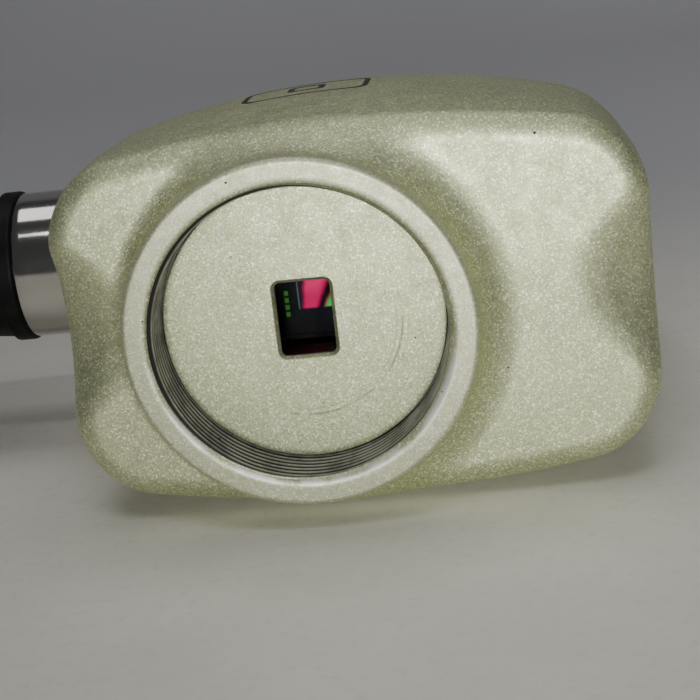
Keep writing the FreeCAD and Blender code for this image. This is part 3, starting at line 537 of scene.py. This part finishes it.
WINDOW_WIDTH = 4.7
WINDOW_HEIGHT = 6.42
WINDOW_X = 0.1
WINDOW_Z = 0.2
WINDOW_BEVEL = 0.3
WINDOW_CORNER = 0.5
WINDOW_LAND_END_Y = 5.4
WINDOW_RELIEF = 0.6
PLATE_POINTS = 256
PLATE_EDGE = 0.25
PLATE_CREASE = 30.0


def rounded_rectangle(width, height, corner, y, angles):
    """A rounded rectangle's points, one in each direction from its centre."""
    core_w = width / 2 - corner
    core_h = height / 2 - corner

    def field(x, depth, z):
        over_x = np.abs(x) - core_w
        over_z = np.abs(z) - core_h
        outside = np.hypot(np.maximum(over_x, 0), np.maximum(over_z, 0))
        return outside + np.minimum(np.maximum(over_x, over_z), 0) - corner

    direction = spokes(angles)
    origin = np.array([0.0, y, 0.0]) + 0 * direction
    return origin + direction * first_crossing(field, origin, direction, 30.0)[:, None]


def window_ring(grow, y, angles):
    """The window's outline, grown all round by this much."""
    width = WINDOW_WIDTH + 2 * grow
    height = WINDOW_HEIGHT + 2 * grow
    ring = rounded_rectangle(width, height, WINDOW_CORNER + grow, y, angles)
    return ring + np.array([WINDOW_X, 0.0, WINDOW_Z])


def make_plate(material):
    angles = full_turn(PLATE_POINTS)
    y_front = PLATE_FRONT_Y
    rings = [window_ring(WINDOW_RELIEF, SHOULDER_Y, angles), window_ring(0, WINDOW_LAND_END_Y, angles)]
    rings.append(window_ring(0, y_front + WINDOW_BEVEL, angles))
    for share in (0.12, 0.5, 0.88):
        rings.append(window_ring(WINDOW_BEVEL * share, y_front + WINDOW_BEVEL * (1 - share), angles))
    rings.append(window_ring(WINDOW_BEVEL * 1.08, y_front, angles))
    edge = rings[-1]
    rim = circle_ring(PLATE_RADIUS - PLATE_EDGE, y_front, angles)
    for share in np.linspace(0, 1, 24)[1:]:
        rings.append(edge + (rim - edge) * share)
    rings.append(circle_ring(PLATE_RADIUS - 0.07, y_front + 0.07, angles))
    rings.append(circle_ring(PLATE_RADIUS, y_front + PLATE_EDGE, angles))
    rings.append(circle_ring(PLATE_RADIUS, SHOULDER_Y, angles))
    vertices = np.concatenate(rings)
    piece = new_object("plate", vertices, grid_faces(len(rings), PLATE_POINTS, True, True))
    sharpen(piece, PLATE_CREASE)
    return finish_piece(piece, material, ["aperture_plate"])


# ---------------------------------------------------------------- gland ring and boot


RING_BORE_RADIUS = 3.6
RING_NECK_RADIUS = 4.9
RING_SPIGOT_RADIUS = 5.3
RING_POINTS = 192
RING_CREASE = 35.0


def turned_piece(name, profile, count):
    """Turns (x, radius) points about the gland axis."""
    turns = full_turn(count)
    rings = []
    for x, radius in profile:
        y = GLAND_Y + radius * np.cos(turns)
        z = GLAND_Z + radius * np.sin(turns)
        rings.append(np.stack([np.full_like(turns, x), y, z], -1))
    return new_object(name, np.concatenate(rings), grid_faces(len(rings), count, True, True))


def make_ring(material):
    bore = RING_BORE_RADIUS
    neck = RING_NECK_RADIUS
    spigot = RING_SPIGOT_RADIUS
    start_x = RING_HIGH[0]
    flange_x = PAD_TOP_X
    end_x = BOOT_HIGH[0]
    profile = [(start_x, bore), (start_x, neck), (flange_x + 0.01, neck)]
    profile = profile + [(flange_x, RING_RADIUS - 0.2), (flange_x - 0.06, RING_RADIUS - 0.06)]
    profile.append((flange_x - 0.2, RING_RADIUS))
    for share in np.linspace(0, 1, 12)[1:-1]:
        profile.append((flange_x + (end_x - flange_x) * share, RING_RADIUS))
    profile = profile + [(end_x + 0.2, RING_RADIUS), (end_x + 0.06, RING_RADIUS - 0.06)]
    profile = profile + [(end_x, RING_RADIUS - 0.2), (end_x, spigot), (RING_LOW[0], spigot), (RING_LOW[0], bore)]
    piece = turned_piece("collar", profile, RING_POINTS)
    sharpen(piece, RING_CREASE)
    return finish_piece(piece, material, ["gland_ring"])


BOOT_COLLAR_LENGTH = 1.7
BOOT_SHOULDER_RADIUS = 7.25
BOOT_TIP_RADIUS = 4.7
BOOT_FLEX_START_X = -44.0
BOOT_FLEX_COUNT = 5
BOOT_FLEX_PITCH = 4.8
BOOT_FLEX_SLOT = 1.5
BOOT_FLEX_FLOOR = 1.1
BOOT_FLEX_END_X = BOOT_FLEX_START_X - BOOT_FLEX_COUNT * BOOT_FLEX_PITCH
BOOT_SLOT_EDGE = 0.12
BOOT_RIB_SHARE = 0.4
BOOT_RIB_EDGE = 0.03
BOOT_TAPER_POWER = 1.4
BOOT_TIP_EDGE = 0.6
BOOT_MOUTH_RADIUS = 5.6
BOOT_POINTS = 200
BOOT_CREASE = 60.0


def boot_radius(x):
    start = BOOT_HIGH[0] - BOOT_COLLAR_LENGTH
    share = np.clip((start - x) / (start - BOOT_LOW[0]), 0, 1)
    radius = BOOT_TIP_RADIUS + (BOOT_SHOULDER_RADIUS - BOOT_TIP_RADIUS) * (1 - share) ** BOOT_TAPER_POWER
    collar = (BOOT_HIGH[2] - BOOT_LOW[2]) / 2
    return radius + (collar - radius) * soft_step(x, start - 0.35, start - 0.05)


def slot_depth(x, turns):
    """How far, from 0 to 1, each point of the boot's side is cut into by the flex slots."""
    depth = np.zeros(np.broadcast(x, turns).shape)
    half_slot = BOOT_FLEX_SLOT / 2
    for index in range(BOOT_FLEX_COUNT):
        for half in (0, 1):
            middle = BOOT_FLEX_START_X - (index + half / 2) * BOOT_FLEX_PITCH - half_slot
            across = 1 - soft_step(np.abs(x - middle), half_slot - BOOT_SLOT_EDGE, half_slot + BOOT_SLOT_EDGE)
            sideways = np.abs(np.sin(turns)) if half == 0 else np.abs(np.cos(turns))
            round_it = soft_step(sideways, BOOT_RIB_SHARE - BOOT_RIB_EDGE, BOOT_RIB_SHARE + BOOT_RIB_EDGE)
            depth = np.maximum(depth, across * round_it)
    return depth


def make_boot(material):
    turns = full_turn(BOOT_POINTS)
    high_x = BOOT_HIGH[0]
    low_x = BOOT_LOW[0]
    stations = np.concatenate([
        np.linspace(high_x - 0.3, high_x - BOOT_COLLAR_LENGTH - 0.5, 20),
        np.linspace(high_x - 2.5, BOOT_FLEX_START_X + 0.6, 20),
        np.linspace(BOOT_FLEX_START_X + 0.4, BOOT_FLEX_END_X - 0.6, 200),
        np.linspace(BOOT_FLEX_END_X - 1.0, low_x + BOOT_TIP_EDGE, 12),
    ])
    floor = CABLE_RADIUS + BOOT_FLEX_FLOOR
    rings = []

    def ring(x, radius):
        y = GLAND_Y + radius * np.cos(turns)
        z = GLAND_Z + radius * np.sin(turns)
        rings.append(np.stack([np.full_like(turns, x), y, z], -1))

    collar = boot_radius(high_x)
    ring(high_x, np.full_like(turns, BOOT_MOUTH_RADIUS))
    ring(high_x, np.full_like(turns, collar - 0.3))
    ring(high_x - 0.09, np.full_like(turns, collar - 0.09))
    for x in stations:
        outer = boot_radius(x)
        ring(x, outer + (floor - outer) * slot_depth(x, turns))
    tip = BOOT_TIP_RADIUS
    for step in range(1, 7):
        turn = math.radians(15 * step)
        radius = tip - BOOT_TIP_EDGE * (1 - math.cos(turn))
        ring(low_x + BOOT_TIP_EDGE * (1 - math.sin(turn)), np.full_like(turns, radius))
    ring(low_x, np.full_like(turns, CABLE_RADIUS + 0.3))
    ring(low_x + 0.3, np.full_like(turns, CABLE_RADIUS + 0.02))
    ring(RING_LOW[0] - 0.3, np.full_like(turns, CABLE_RADIUS + 0.02))
    ring(RING_LOW[0] - 0.3, np.full_like(turns, BOOT_MOUTH_RADIUS))
    piece = new_object("boot", np.concatenate(rings), grid_faces(len(rings), BOOT_POINTS, True, True))
    sharpen(piece, BOOT_CREASE)
    return finish_piece(piece, material, ["strain_relief_boot"])


# ---------------------------------------------------------------- printed mark

MARK_X = 0.8
MARK_Y = 21.5
MARK_LIFT = 0.03
MARK_SUNK = -0.2
MARK_POINTS = 160

# Each shape's width, depth, outer corner, line width and inner corner.
MARK_SHAPES = [(11.5, 8.2, 1.8, 0.5, 1.3), (3.4, 3.4, 0.6, 0.6, 0.3)]


def mark_outlines():
    """A plain sign, a rounded frame round a small rounded square, as pairs of outer and inner outlines."""
    angles = full_turn(MARK_POINTS)
    pairs = []
    for width, depth, corner, line, inner_corner in MARK_SHAPES:
        outer = rounded_rectangle(width, depth, corner, 0.0, angles)
        inner = rounded_rectangle(width - 2 * line, depth - 2 * line, inner_corner, 0.0, angles)
        pairs.append((outer, inner))
    return pairs


def make_mark(material):
    vertices = []
    faces = []
    for outer, inner in mark_outlines():
        for lift in (MARK_LIFT, MARK_SUNK):
            for outline in (outer, inner):
                flat = np.stack([MARK_X + outline[:, 0], MARK_Y + outline[:, 2], np.zeros(len(outline))], -1)
                upward = np.array([0.0, 0.0, 1.0]) + 0 * flat
                flat[:, 2] = first_crossing(body_field, flat, upward, 30.0) + lift
                vertices = vertices + [tuple(point) for point in flat]
        count = len(outer)
        offset = len(vertices) - 4 * count
        order = (0, 1, 3, 2)
        for index in range(4):
            first = offset + order[index] * count
            second = offset + order[(index + 1) % 4] * count
            for column in range(count):
                after = (column + 1) % count
                faces.append((first + column, first + after, second + after, second + column))
    piece = new_object("top_sign", vertices, faces)
    sharpen(piece, 40.0)
    return finish_piece(piece, material)


# ---------------------------------------------------------------- materials


class Shading:
    """A short way to write one material's nodes."""

    def __init__(self, name):
        self.material = bpy.data.materials.new(name)
        self.material.use_nodes = True
        self.tree = self.material.node_tree
        self.tree.nodes.clear()
        self.output = self.tree.nodes.new("ShaderNodeOutputMaterial")
        self.surface = self.tree.nodes.new("ShaderNodeBsdfPrincipled")
        self.join(self.surface.outputs["BSDF"], self.output.inputs["Surface"])
        self.place = self.tree.nodes.new("ShaderNodeTexCoord").outputs["Object"]

    def join(self, source, target):
        self.tree.links.new(source, target)

    def plug(self, target, value):
        """Sets a socket to a number or colour, or links another node's output to it."""
        if isinstance(value, bpy.types.NodeSocket):
            self.join(value, target)
        else:
            target.default_value = value

    def set(self, **values):
        """Sets sockets of the main shader by name, with underscores for spaces."""
        for name, value in values.items():
            self.plug(self.surface.inputs[name.replace("_", " ")], value)

    def noise(self, size_mm, detail=3.0, roughness=0.5, place=None):
        node = self.tree.nodes.new("ShaderNodeTexNoise")
        self.plug(node.inputs["Vector"], place or self.place)
        node.inputs["Scale"].default_value = 1.0 / (size_mm * MM)
        node.inputs["Detail"].default_value = detail
        node.inputs["Roughness"].default_value = roughness
        return node.outputs["Fac"]

    def cells(self, size_mm, feature="F1", output="Distance"):
        node = self.tree.nodes.new("ShaderNodeTexVoronoi")
        node.feature = feature
        self.join(self.place, node.inputs["Vector"])
        node.inputs["Scale"].default_value = 1.0 / (size_mm * MM)
        return node.outputs[output]

    def scaled(self, factors):
        """The object's own place, stretched along each axis."""
        node = self.tree.nodes.new("ShaderNodeMapping")
        self.join(self.place, node.inputs["Vector"])
        node.inputs["Scale"].default_value = factors
        return node.outputs["Vector"]

    def math(self, operation, a, b=0.0, clamp=False):
        node = self.tree.nodes.new("ShaderNodeMath")
        node.operation = operation
        node.use_clamp = clamp
        self.plug(node.inputs[0], a)
        self.plug(node.inputs[1], b)
        return node.outputs[0]

    def step(self, value, low, high, out_low=0.0, out_high=1.0):
        """A smooth step of value from low to high."""
        node = self.tree.nodes.new("ShaderNodeMapRange")
        node.interpolation_type = "SMOOTHSTEP"
        self.plug(node.inputs["Value"], value)
        node.inputs["From Min"].default_value = low
        node.inputs["From Max"].default_value = high
        node.inputs["To Min"].default_value = out_low
        node.inputs["To Max"].default_value = out_high
        return node.outputs["Result"]

    def mix(self, share, a, b):
        node = self.tree.nodes.new("ShaderNodeMix")
        node.data_type = "RGBA"
        self.plug(node.inputs["Factor"], share)
        self.plug(node.inputs[6], a if isinstance(a, bpy.types.NodeSocket) else (*a, 1.0))
        self.plug(node.inputs[7], b if isinstance(b, bpy.types.NodeSocket) else (*b, 1.0))
        return node.outputs[2]

    def split(self, place=None):
        """The three parts of a place or a colour."""
        node = self.tree.nodes.new("ShaderNodeSeparateXYZ")
        self.plug(node.inputs[0], place or self.place)
        return node.outputs

    def from_axis(self, first, second):
        """Distance from an axis, from the two coordinates square to it, in metres."""
        squares = self.math("ADD", self.math("MULTIPLY", first, first), self.math("MULTIPLY", second, second))
        return self.math("SQRT", squares)

    def ring_place(self, radius):
        """A place that only changes with the distance from an axis."""
        node = self.tree.nodes.new("ShaderNodeCombineXYZ")
        self.join(radius, node.inputs[0])
        return node.outputs[0]

    def bump(self, height, strength, distance_mm, below=None):
        node = self.tree.nodes.new("ShaderNodeBump")
        node.inputs["Strength"].default_value = strength
        node.inputs["Distance"].default_value = distance_mm * MM
        self.plug(node.inputs["Height"], height)
        if below is not None:
            self.join(below, node.inputs["Normal"])
        return node.outputs["Normal"]


def product(shade, *factors):
    """Several masks multiplied together."""
    result = factors[0]
    for factor in factors[1:]:
        result = shade.math("MULTIPLY", result, factor)
    return result


def flaked(shade, light, dark):
    """The paint's own colour and facets: fine metallic flake over a soft mottle."""
    mottle = shade.noise(9.0, 4.0)
    colour = shade.mix(shade.step(mottle, 0.3, 0.7), dark, light)
    flake = shade.split(shade.cells(0.13, output="Color"))
    glint = shade.step(flake[0], 0.62, 1.0)
    colour = shade.mix(glint, colour, (1.0, 1.0, 0.74))
    colour = shade.mix(shade.step(flake[1], 0.0, 0.55, 0.45, 0.0), colour, (0.24, 0.25, 0.17))
    colour = shade.mix(shade.step(flake[2], 0.85, 1.0, 0.0, 0.4), colour, (0.72, 0.52, 0.66))
    return colour, flake[0]


def knocks(shade, colour, size_mm, lower, upper):
    """Small dark specks where the paint has been knocked off."""
    spots = shade.cells(size_mm)
    place = shade.step(shade.noise(size_mm * 2.3, 2.0), 0.5, 0.56)
    speck = product(shade, shade.step(spots, upper, lower), place)
    return shade.mix(speck, colour, (0.03, 0.028, 0.024)), speck


def set_paint(shade, colour, facet, speck, bare, bare_metal):
    """The paint's gloss and relief. bare masks what has no paint, and bare_metal is its metallic share."""
    rough = shade.step(shade.noise(1.4, 3.0), 0.3, 0.7, 0.5, 0.6)
    skin = shade.bump(shade.noise(0.4, 2.0), 0.22, 0.04, shade.bump(facet, 0.9, 0.04))
    normal = shade.bump(shade.math("SUBTRACT", 1.0, speck), 0.6, 0.05, skin)
    metal = shade.step(bare, 0.0, 1.0, 0.92, bare_metal)
    shade.set(Base_Color=colour, Roughness=rough, Metallic=metal, Normal=normal)


def housing_paint():
    """Champagne metallic paint, with pale worn patches and a painted highlight on the lower lip, painted shade on
    the upper chamfer, and worn thread crests with painted shade in the grooves.
    """
    shade = Shading("housing_paint")
    colour, facet = flaked(shade, (0.60, 0.65, 0.38), (0.54, 0.585, 0.34))
    x, y, z = shade.split()
    radius = shade.from_axis(x, z)
    near_port = shade.step(y, 6.6 * MM, 6.4 * MM)
    front = product(shade, shade.step(y, 2.6 * MM, 0.3 * MM), shade.step(radius, 12.8 * MM, 13.0 * MM))
    colour = shade.mix(shade.math("MULTIPLY", front, 0.4), colour, (0.6, 0.59, 0.48))
    scuff = shade.step(shade.noise(1.6, 5.0, 0.7, shade.scaled((1.0, 1.0, 2.2))), 0.56, 0.72)
    scuff = product(shade, scuff, shade.step(y, 1.4 * MM, 0.2 * MM), 0.4)
    colour = shade.mix(scuff, colour, (0.36, 0.35, 0.31))
    # Pale patches on the lip: worn paint, kept to the lip's lower half as a painted highlight.
    lip = product(shade, shade.step(radius, 13.2 * MM, 12.95 * MM), shade.step(y, 0.5 * MM, 0.15 * MM))
    lip = product(shade, lip, shade.step(shade.noise(3.0, 3.0), 0.38, 0.6), shade.step(z, 0.0, -5.0 * MM))
    colour = shade.mix(lip, colour, (0.9, 0.89, 0.82))
    # Painted shade: the lip's inner chamfer is darkened on its upper part, which faces down.
    chamfer = product(shade, shade.step(radius, 12.84 * MM, 12.74 * MM), near_port)
    chamfer = product(shade, chamfer, shade.step(z, -6.0 * MM, 3.0 * MM))
    colour = shade.mix(shade.math("MULTIPLY", chamfer, 0.5), colour, (0.14, 0.14, 0.10))
    in_thread = product(shade, shade.step(radius, 12.84 * MM, 12.78 * MM), near_port)
    in_thread = product(shade, in_thread, shade.step(y, 0.42 * MM, 0.5 * MM))
    # Painted shade: the grooves darken to near black with depth; the crests keep worn, part-bare paint.
    depth = shade.step(radius, 12.28 * MM, 12.44 * MM)
    wear = shade.noise(2.4, 4.0, 0.6, shade.scaled((1.0, 0.4, 1.0)))
    crest = shade.mix(shade.step(wear, 0.4, 0.65), (0.36, 0.36, 0.28), (0.2, 0.195, 0.16))
    groove = shade.mix(depth, crest, (0.012, 0.011, 0.010))
    colour = shade.mix(in_thread, colour, groove)
    colour, speck = knocks(shade, colour, 2.6, 0.03, 0.055)
    set_paint(shade, colour, facet, speck, in_thread, 0.3)
    return shade.material


# The disc's rubbed arcs: radius and half-width in millimetres, and strength.
RUBBED_ARCS = ((8.72, 0.2, 0.75), (8.2, 0.12, 0.3), (9.3, 0.25, 0.3), (10.3, 0.15, 0.3))


def plate_paint():
    """The disc's paint: as the body's, with faint turned rings, the rubbing marks of lenses, and painted shade at
    its edge and on the window's bevel.
    """
    shade = Shading("plate_paint")
    colour, facet = flaked(shade, (0.60, 0.66, 0.385), (0.55, 0.605, 0.35))
    x, y, z = shade.split()
    radius = shade.from_axis(x, z)
    wobble = shade.math("ADD", radius, shade.math("MULTIPLY", shade.noise(5.0, 2.0), 0.8 * MM))
    lines = shade.noise(0.35, 4.0, 0.7, shade.ring_place(radius))
    broken = shade.step(shade.noise(2.2, 3.0), 0.42, 0.56)
    low_right = shade.step(shade.math("SUBTRACT", x, shade.math("MULTIPLY", z, 1.1)), 5.0 * MM, 8.0 * MM)
    for place, width, strength in RUBBED_ARCS:
        off_line = shade.math("ABSOLUTE", shade.math("SUBTRACT", wobble, place * MM))
        arc = product(shade, shade.step(off_line, width * MM, 0.05 * MM), shade.step(lines, 0.42, 0.6), low_right)
        colour = shade.mix(product(shade, arc, broken, strength), colour, (0.12, 0.12, 0.09))
    turned = shade.noise(0.45, 3.0, 0.6, shade.ring_place(radius))
    colour = shade.mix(shade.step(turned, 0.5, 0.75, 0.0, 0.16), colour, (0.4, 0.41, 0.31))
    # Painted shadow: a dark ring at the disc's edge, for the shade in the gap between disc and bore.
    rim = shade.step(radius, 11.95 * MM, 12.06 * MM, 0.0, 0.8)
    colour = shade.mix(rim, colour, (0.05, 0.047, 0.04))
    inside = shade.step(y, 5.02 * MM, 5.12 * MM)
    colour = shade.mix(inside, colour, (0.006, 0.006, 0.006))
    # Painted shade: the window's front bevel is darkened.
    bevel = shade.step(y, 4.82 * MM, 4.86 * MM, 0.0, 0.55)
    bevel = product(shade, bevel, shade.step(radius, 6.0 * MM, 5.8 * MM))
    colour = shade.mix(bevel, colour, (0.12, 0.12, 0.08))
    colour, speck = knocks(shade, colour, 2.2, 0.02, 0.045)
    set_paint(shade, colour, facet, speck, inside, 0.0)
    return shade.material


def polished_steel():
    shade = Shading("polished_steel")
    drawn = shade.noise(0.9, 3.0, 0.6, shade.scaled((26.0, 1.0, 1.0)))
    smear = shade.noise(3.0, 4.0)
    colour = shade.mix(smear, (0.60, 0.58, 0.55), (0.72, 0.70, 0.67))
    rough = shade.step(drawn, 0.3, 0.7, 0.06, 0.16)
    shade.set(Base_Color=colour, Metallic=1.0, Roughness=rough)
    shade.set(Normal=shade.bump(drawn, 0.08, 0.02))
    return shade.material


def rubber(name, colour, rough, grain_mm):
    shade = Shading(name)
    dust = shade.step(shade.noise(2.4, 5.0, 0.7), 0.5, 0.8)
    lighter = tuple(channel * 2.0 + 0.006 for channel in colour)
    shade.set(Base_Color=shade.mix(dust, colour, lighter))
    shade.set(Roughness=shade.step(shade.noise(1.1, 3.0), 0.3, 0.7, rough - 0.08, rough + 0.08))
    shade.set(Normal=shade.bump(shade.noise(grain_mm, 3.0, 0.6), 0.35, 0.04))
    shade.set(Specular_IOR_Level=0.2)
    return shade.material


def moulded(name, colour, rough=0.45, metallic=0.0, grain_mm=0.3, strength=0.2):
    shade = Shading(name)
    patch = shade.noise(1.6, 4.0, 0.6)
    darker = tuple(channel * 0.72 for channel in colour)
    shade.set(Base_Color=shade.mix(shade.step(patch, 0.3, 0.7), darker, colour), Metallic=metallic)
    shade.set(Roughness=shade.step(shade.noise(0.7, 3.0), 0.3, 0.7, rough - 0.07, rough + 0.07))
    shade.set(Normal=shade.bump(shade.noise(grain_mm, 2.0), strength, 0.03))
    return shade.material


def circuit_board():
    shade = Shading("circuit_board")
    tracks = shade.cells(1.3, feature="DISTANCE_TO_EDGE")
    track = shade.step(tracks, 0.09, 0.06)
    weave = shade.noise(0.25, 2.0)
    base = shade.mix(weave, (0.006, 0.075, 0.03), (0.01, 0.11, 0.045))
    shade.set(Base_Color=shade.mix(track, base, (0.02, 0.19, 0.08)), Roughness=0.32)
    shade.set(Normal=shade.bump(track, 0.4, 0.03), Coat_Weight=0.4)
    return shade.material


def clear_glass():
    shade = Shading("filter_glass")
    dust = shade.step(shade.cells(1.9), 0.03, 0.015)
    shade.set(Base_Color=(0.95, 0.97, 0.96, 1.0), Transmission_Weight=1.0, IOR=1.04)
    shade.set(Roughness=shade.math("MULTIPLY", dust, 0.3))
    return shade.material


def sensor_face():
    """The sensor's face: dark silicon, with a painted reflection, the magenta and green sheen of its filter array
    given off as emission, and a pale line beside it that is also emissive.
    """
    shade = Shading("sensor_face")
    x, y, z = shade.split()
    waver = shade.math("MULTIPLY", shade.noise(1.2, 2.0), 0.35 * MM)
    slant = shade.math("ADD", shade.math("SUBTRACT", x, shade.math("MULTIPLY", z, 0.47)), waver)
    left = shade.math("ADD", shade.math("SUBTRACT", x, shade.math("MULTIPLY", z, 0.13)), waver)
    # Painted reflection: these masks place the sheen, its glare and its colours on the face, given off as
    # emission.
    lit_part = shade.step(z, -2.28 * MM, -2.16 * MM)
    magenta = product(shade, shade.step(slant, 1.35 * MM, 0.7 * MM), shade.step(left, -1.3 * MM, -0.75 * MM))
    magenta = product(shade, magenta, lit_part)
    green = product(shade, shade.step(slant, 1.45 * MM, 2.1 * MM), shade.step(z, -0.5 * MM, -1.3 * MM), lit_part)
    glare = product(shade, shade.step(z, -1.2 * MM, 0.2 * MM), shade.step(slant, 0.9 * MM, 0.2 * MM), 0.6)
    sheen = shade.mix(glare, (0.66, 0.0, 0.09), (0.95, 0.03, 0.19))
    sheen = shade.mix(green, sheen, (0.0, 0.55, 0.09))
    glow = shade.math("ADD", magenta, green, clamp=True)
    # Painted light: a pale emissive line beside the sheen, coloured teal below and violet above.
    column = shade.step(shade.math("ABSOLUTE", shade.math("ADD", x, 1.83 * MM)), 0.075 * MM, 0.03 * MM)
    line = product(shade, column, shade.step(z, -2.35 * MM, -2.2 * MM))
    patch = shade.step(shade.noise(0.3, 3.0), 0.4, 0.6)
    frame_colour = shade.mix(patch, (0.008, 0.007, 0.024), (0.014, 0.012, 0.036))
    rim = shade.mix(shade.step(z, -2.3 * MM, -0.5 * MM), (0.07, 0.2, 0.22), (0.22, 0.18, 0.3))
    colour = shade.mix(line, frame_colour, rim)
    shade.set(Base_Color=colour, Roughness=0.35)
    shade.set(Normal=shade.bump(shade.cells(0.05), 0.1, 0.005))
    # The sheen and the pale line shine by emission: painted light, not reflections worked out by the shader.
    strength = shade.math("ADD", glow, shade.math("MULTIPLY", line, 0.35))
    shade.set(Emission_Color=shade.mix(line, sheen, rim), Emission_Strength=strength)
    return shade.material


def bright_contact():
    """Gold bond pads, coloured green and, where they sit in the window, emissive: a painted shine for the green
    they show through the coated filter.
    """
    shade = Shading("gold_contact")
    worn = shade.noise(0.2, 3.0)
    x, y, z = shade.split()
    # Painted reflection: the green base colour and, in the window, the emission stand in for the pads' green
    # shine.
    painted_shine_mask = product(shade, shade.step(y, 18.1 * MM, 18.0 * MM), shade.step(x, -2.0 * MM, -2.2 * MM))
    shade.set(Base_Color=shade.mix(worn, (0.1, 0.24, 0.04), (0.2, 0.34, 0.08)), Metallic=0.6, Roughness=0.4)
    shade.set(Emission_Color=(0.02, 0.2, 0.02, 1.0), Emission_Strength=shade.math("MULTIPLY", painted_shine_mask, 0.4))
    return shade.material


def sign_ink():
    shade = Shading("sign_ink")
    worn = shade.step(shade.noise(0.7, 4.0, 0.65), 0.6, 0.75)
    shade.set(Base_Color=shade.mix(worn, (0.028, 0.018, 0.016), (0.12, 0.10, 0.085)), Roughness=0.5)
    shade.set(Normal=shade.bump(shade.noise(0.2, 2.0), 0.2, 0.02))
    return shade.material


def floor_material():
    """Pale painted board with a faint mottling, turning into a grey backdrop behind the object."""
    shade = Shading("pale_table")
    x, y, z = shade.split()
    mottle = shade.noise(30.0, 5.0, 0.6)
    fine = shade.noise(1.1, 4.0, 0.6)
    colour = shade.mix(shade.step(mottle, 0.3, 0.7), (0.77, 0.755, 0.675), (0.86, 0.84, 0.76))
    colour = shade.mix(shade.step(fine, 0.5, 0.75, 0.0, 0.3), colour, (0.6, 0.59, 0.53))
    colour = shade.mix(shade.step(y, 20 * MM, 150 * MM), colour, (0.6, 0.6, 0.62))
    shade.set(Base_Color=colour, Roughness=0.75, Normal=shade.bump(fine, 0.2, 0.1))
    return shade.material


def paint_cad_nodes(materials):
    """Gives every CAD node its slot's material."""
    for entry in frame["record"]["subparts"]:
        node = frame["nodes"][entry["node"]]
        slot_name = entry["material_slot"]
        node.data.materials.clear()
        node.data.materials.append(materials[slot_name])


# ---------------------------------------------------------------- stage


def make_floor(material):
    """A floor under the object that curves up into a backdrop."""
    floor_z = min(HOUSING_LOW[2], COVER_LOW[2])
    depth_points = [(-420.0, 0.0), (300.0, 0.0)]
    for step in range(1, 13):
        turn = math.radians(90 * step / 12)
        depth_points.append((300.0 + 160 * math.sin(turn), 160 * (1 - math.cos(turn))))
    depth_points.append((460.0, 700.0))
    vertices = []
    for x in (-900.0, 900.0):
        for y, z in depth_points:
            vertices.append((x, y, floor_z + z))
    count = len(depth_points)
    faces = [(index, index + 1, count + index + 1, count + index) for index in range(count - 1)]
    floor = new_object("floor", vertices, faces)
    floor.data.materials.append(material)


def area_light(name, place, target, width, height, power, spread=180.0):
    data = bpy.data.lights.new(name, "AREA")
    data.shape = "RECTANGLE"
    data.size = width * MM
    data.size_y = height * MM
    data.energy = power
    data.spread = math.radians(spread)
    light = bpy.data.objects.new(name, data)
    light.location = Vector(place) * MM
    aim = Vector(target) * MM - light.location
    light.rotation_euler = aim.to_track_quat("-Z", "Y").to_euler()
    bpy.context.scene.collection.objects.link(light)


def make_lights():
    world = bpy.data.worlds.new("world")
    world.use_nodes = True
    world.node_tree.nodes["Background"].inputs["Color"].default_value = (0.95, 0.97, 1.0, 1.0)
    world.node_tree.nodes["Background"].inputs["Strength"].default_value = 0.05
    bpy.context.scene.world = world
    area_light("front", (14, -190, 31), (18, 0, 24), 60, 40, 0.026, 40.0)
    area_light("above", (-20, -200, 420), (-30, 30, 0), 260, 24, 0.2)
    area_light("table", (10, -210, 300), (10, -130, -17), 120, 80, 0.03, 60.0)
    area_light("ceiling", (0, 130, 560), (0, 40, 0), 460, 260, 0.62)


# ---------------------------------------------------------------- everything

make_camera()

paint = housing_paint()
SLOT_MATERIALS = {
    "housing_paint": paint,
    "plate_paint": plate_paint(),
    "polished_steel": polished_steel(),
    "boot_rubber": rubber("boot_rubber", (0.004, 0.004, 0.0045), 0.5, 0.35),
    "seal_rubber": rubber("seal_rubber", (0.025, 0.025, 0.026), 0.6, 0.25),
    "screw_steel": moulded("screw_steel", (0.55, 0.55, 0.54), 0.3, 1.0, 0.2),
    "filter_glass": clear_glass(),
    "black_anodised": moulded("black_anodised", (0.006, 0.006, 0.007), 0.5, 0.2, 0.15),
    "package_ceramic": moulded("package_ceramic", (0.008, 0.008, 0.016), 0.4),
    "silicon": sensor_face(),
    "gold_contact": bright_contact(),
    "thermal_silicone": moulded("thermal_silicone", (0.40, 0.45, 0.50), 0.6),
    "circuit_board": circuit_board(),
    "chip_plastic": moulded("chip_plastic", (0.02, 0.02, 0.022), 0.55),
    "post_brass": moulded("post_brass", (0.60, 0.57, 0.48), 0.3, 1.0, 0.2),
    "connector_plastic": moulded("connector_plastic", (0.03, 0.03, 0.033), 0.45),
    "tin_can": moulded("tin_can", (0.62, 0.62, 0.60), 0.35, 1.0, 0.4),
    "header_plastic": moulded("header_plastic", (0.62, 0.60, 0.52), 0.5),
    "grip_plastic": moulded("grip_plastic", (0.20, 0.20, 0.20), 0.5),
}

paint_cad_nodes(SLOT_MATERIALS)
make_housing(paint)
make_cover(paint)
make_plugs(SLOT_MATERIALS["seal_rubber"])
make_plate(SLOT_MATERIALS["plate_paint"])
make_ring(SLOT_MATERIALS["polished_steel"])
make_boot(SLOT_MATERIALS["boot_rubber"])
make_mark(sign_ink())
make_floor(floor_material())
make_lights()
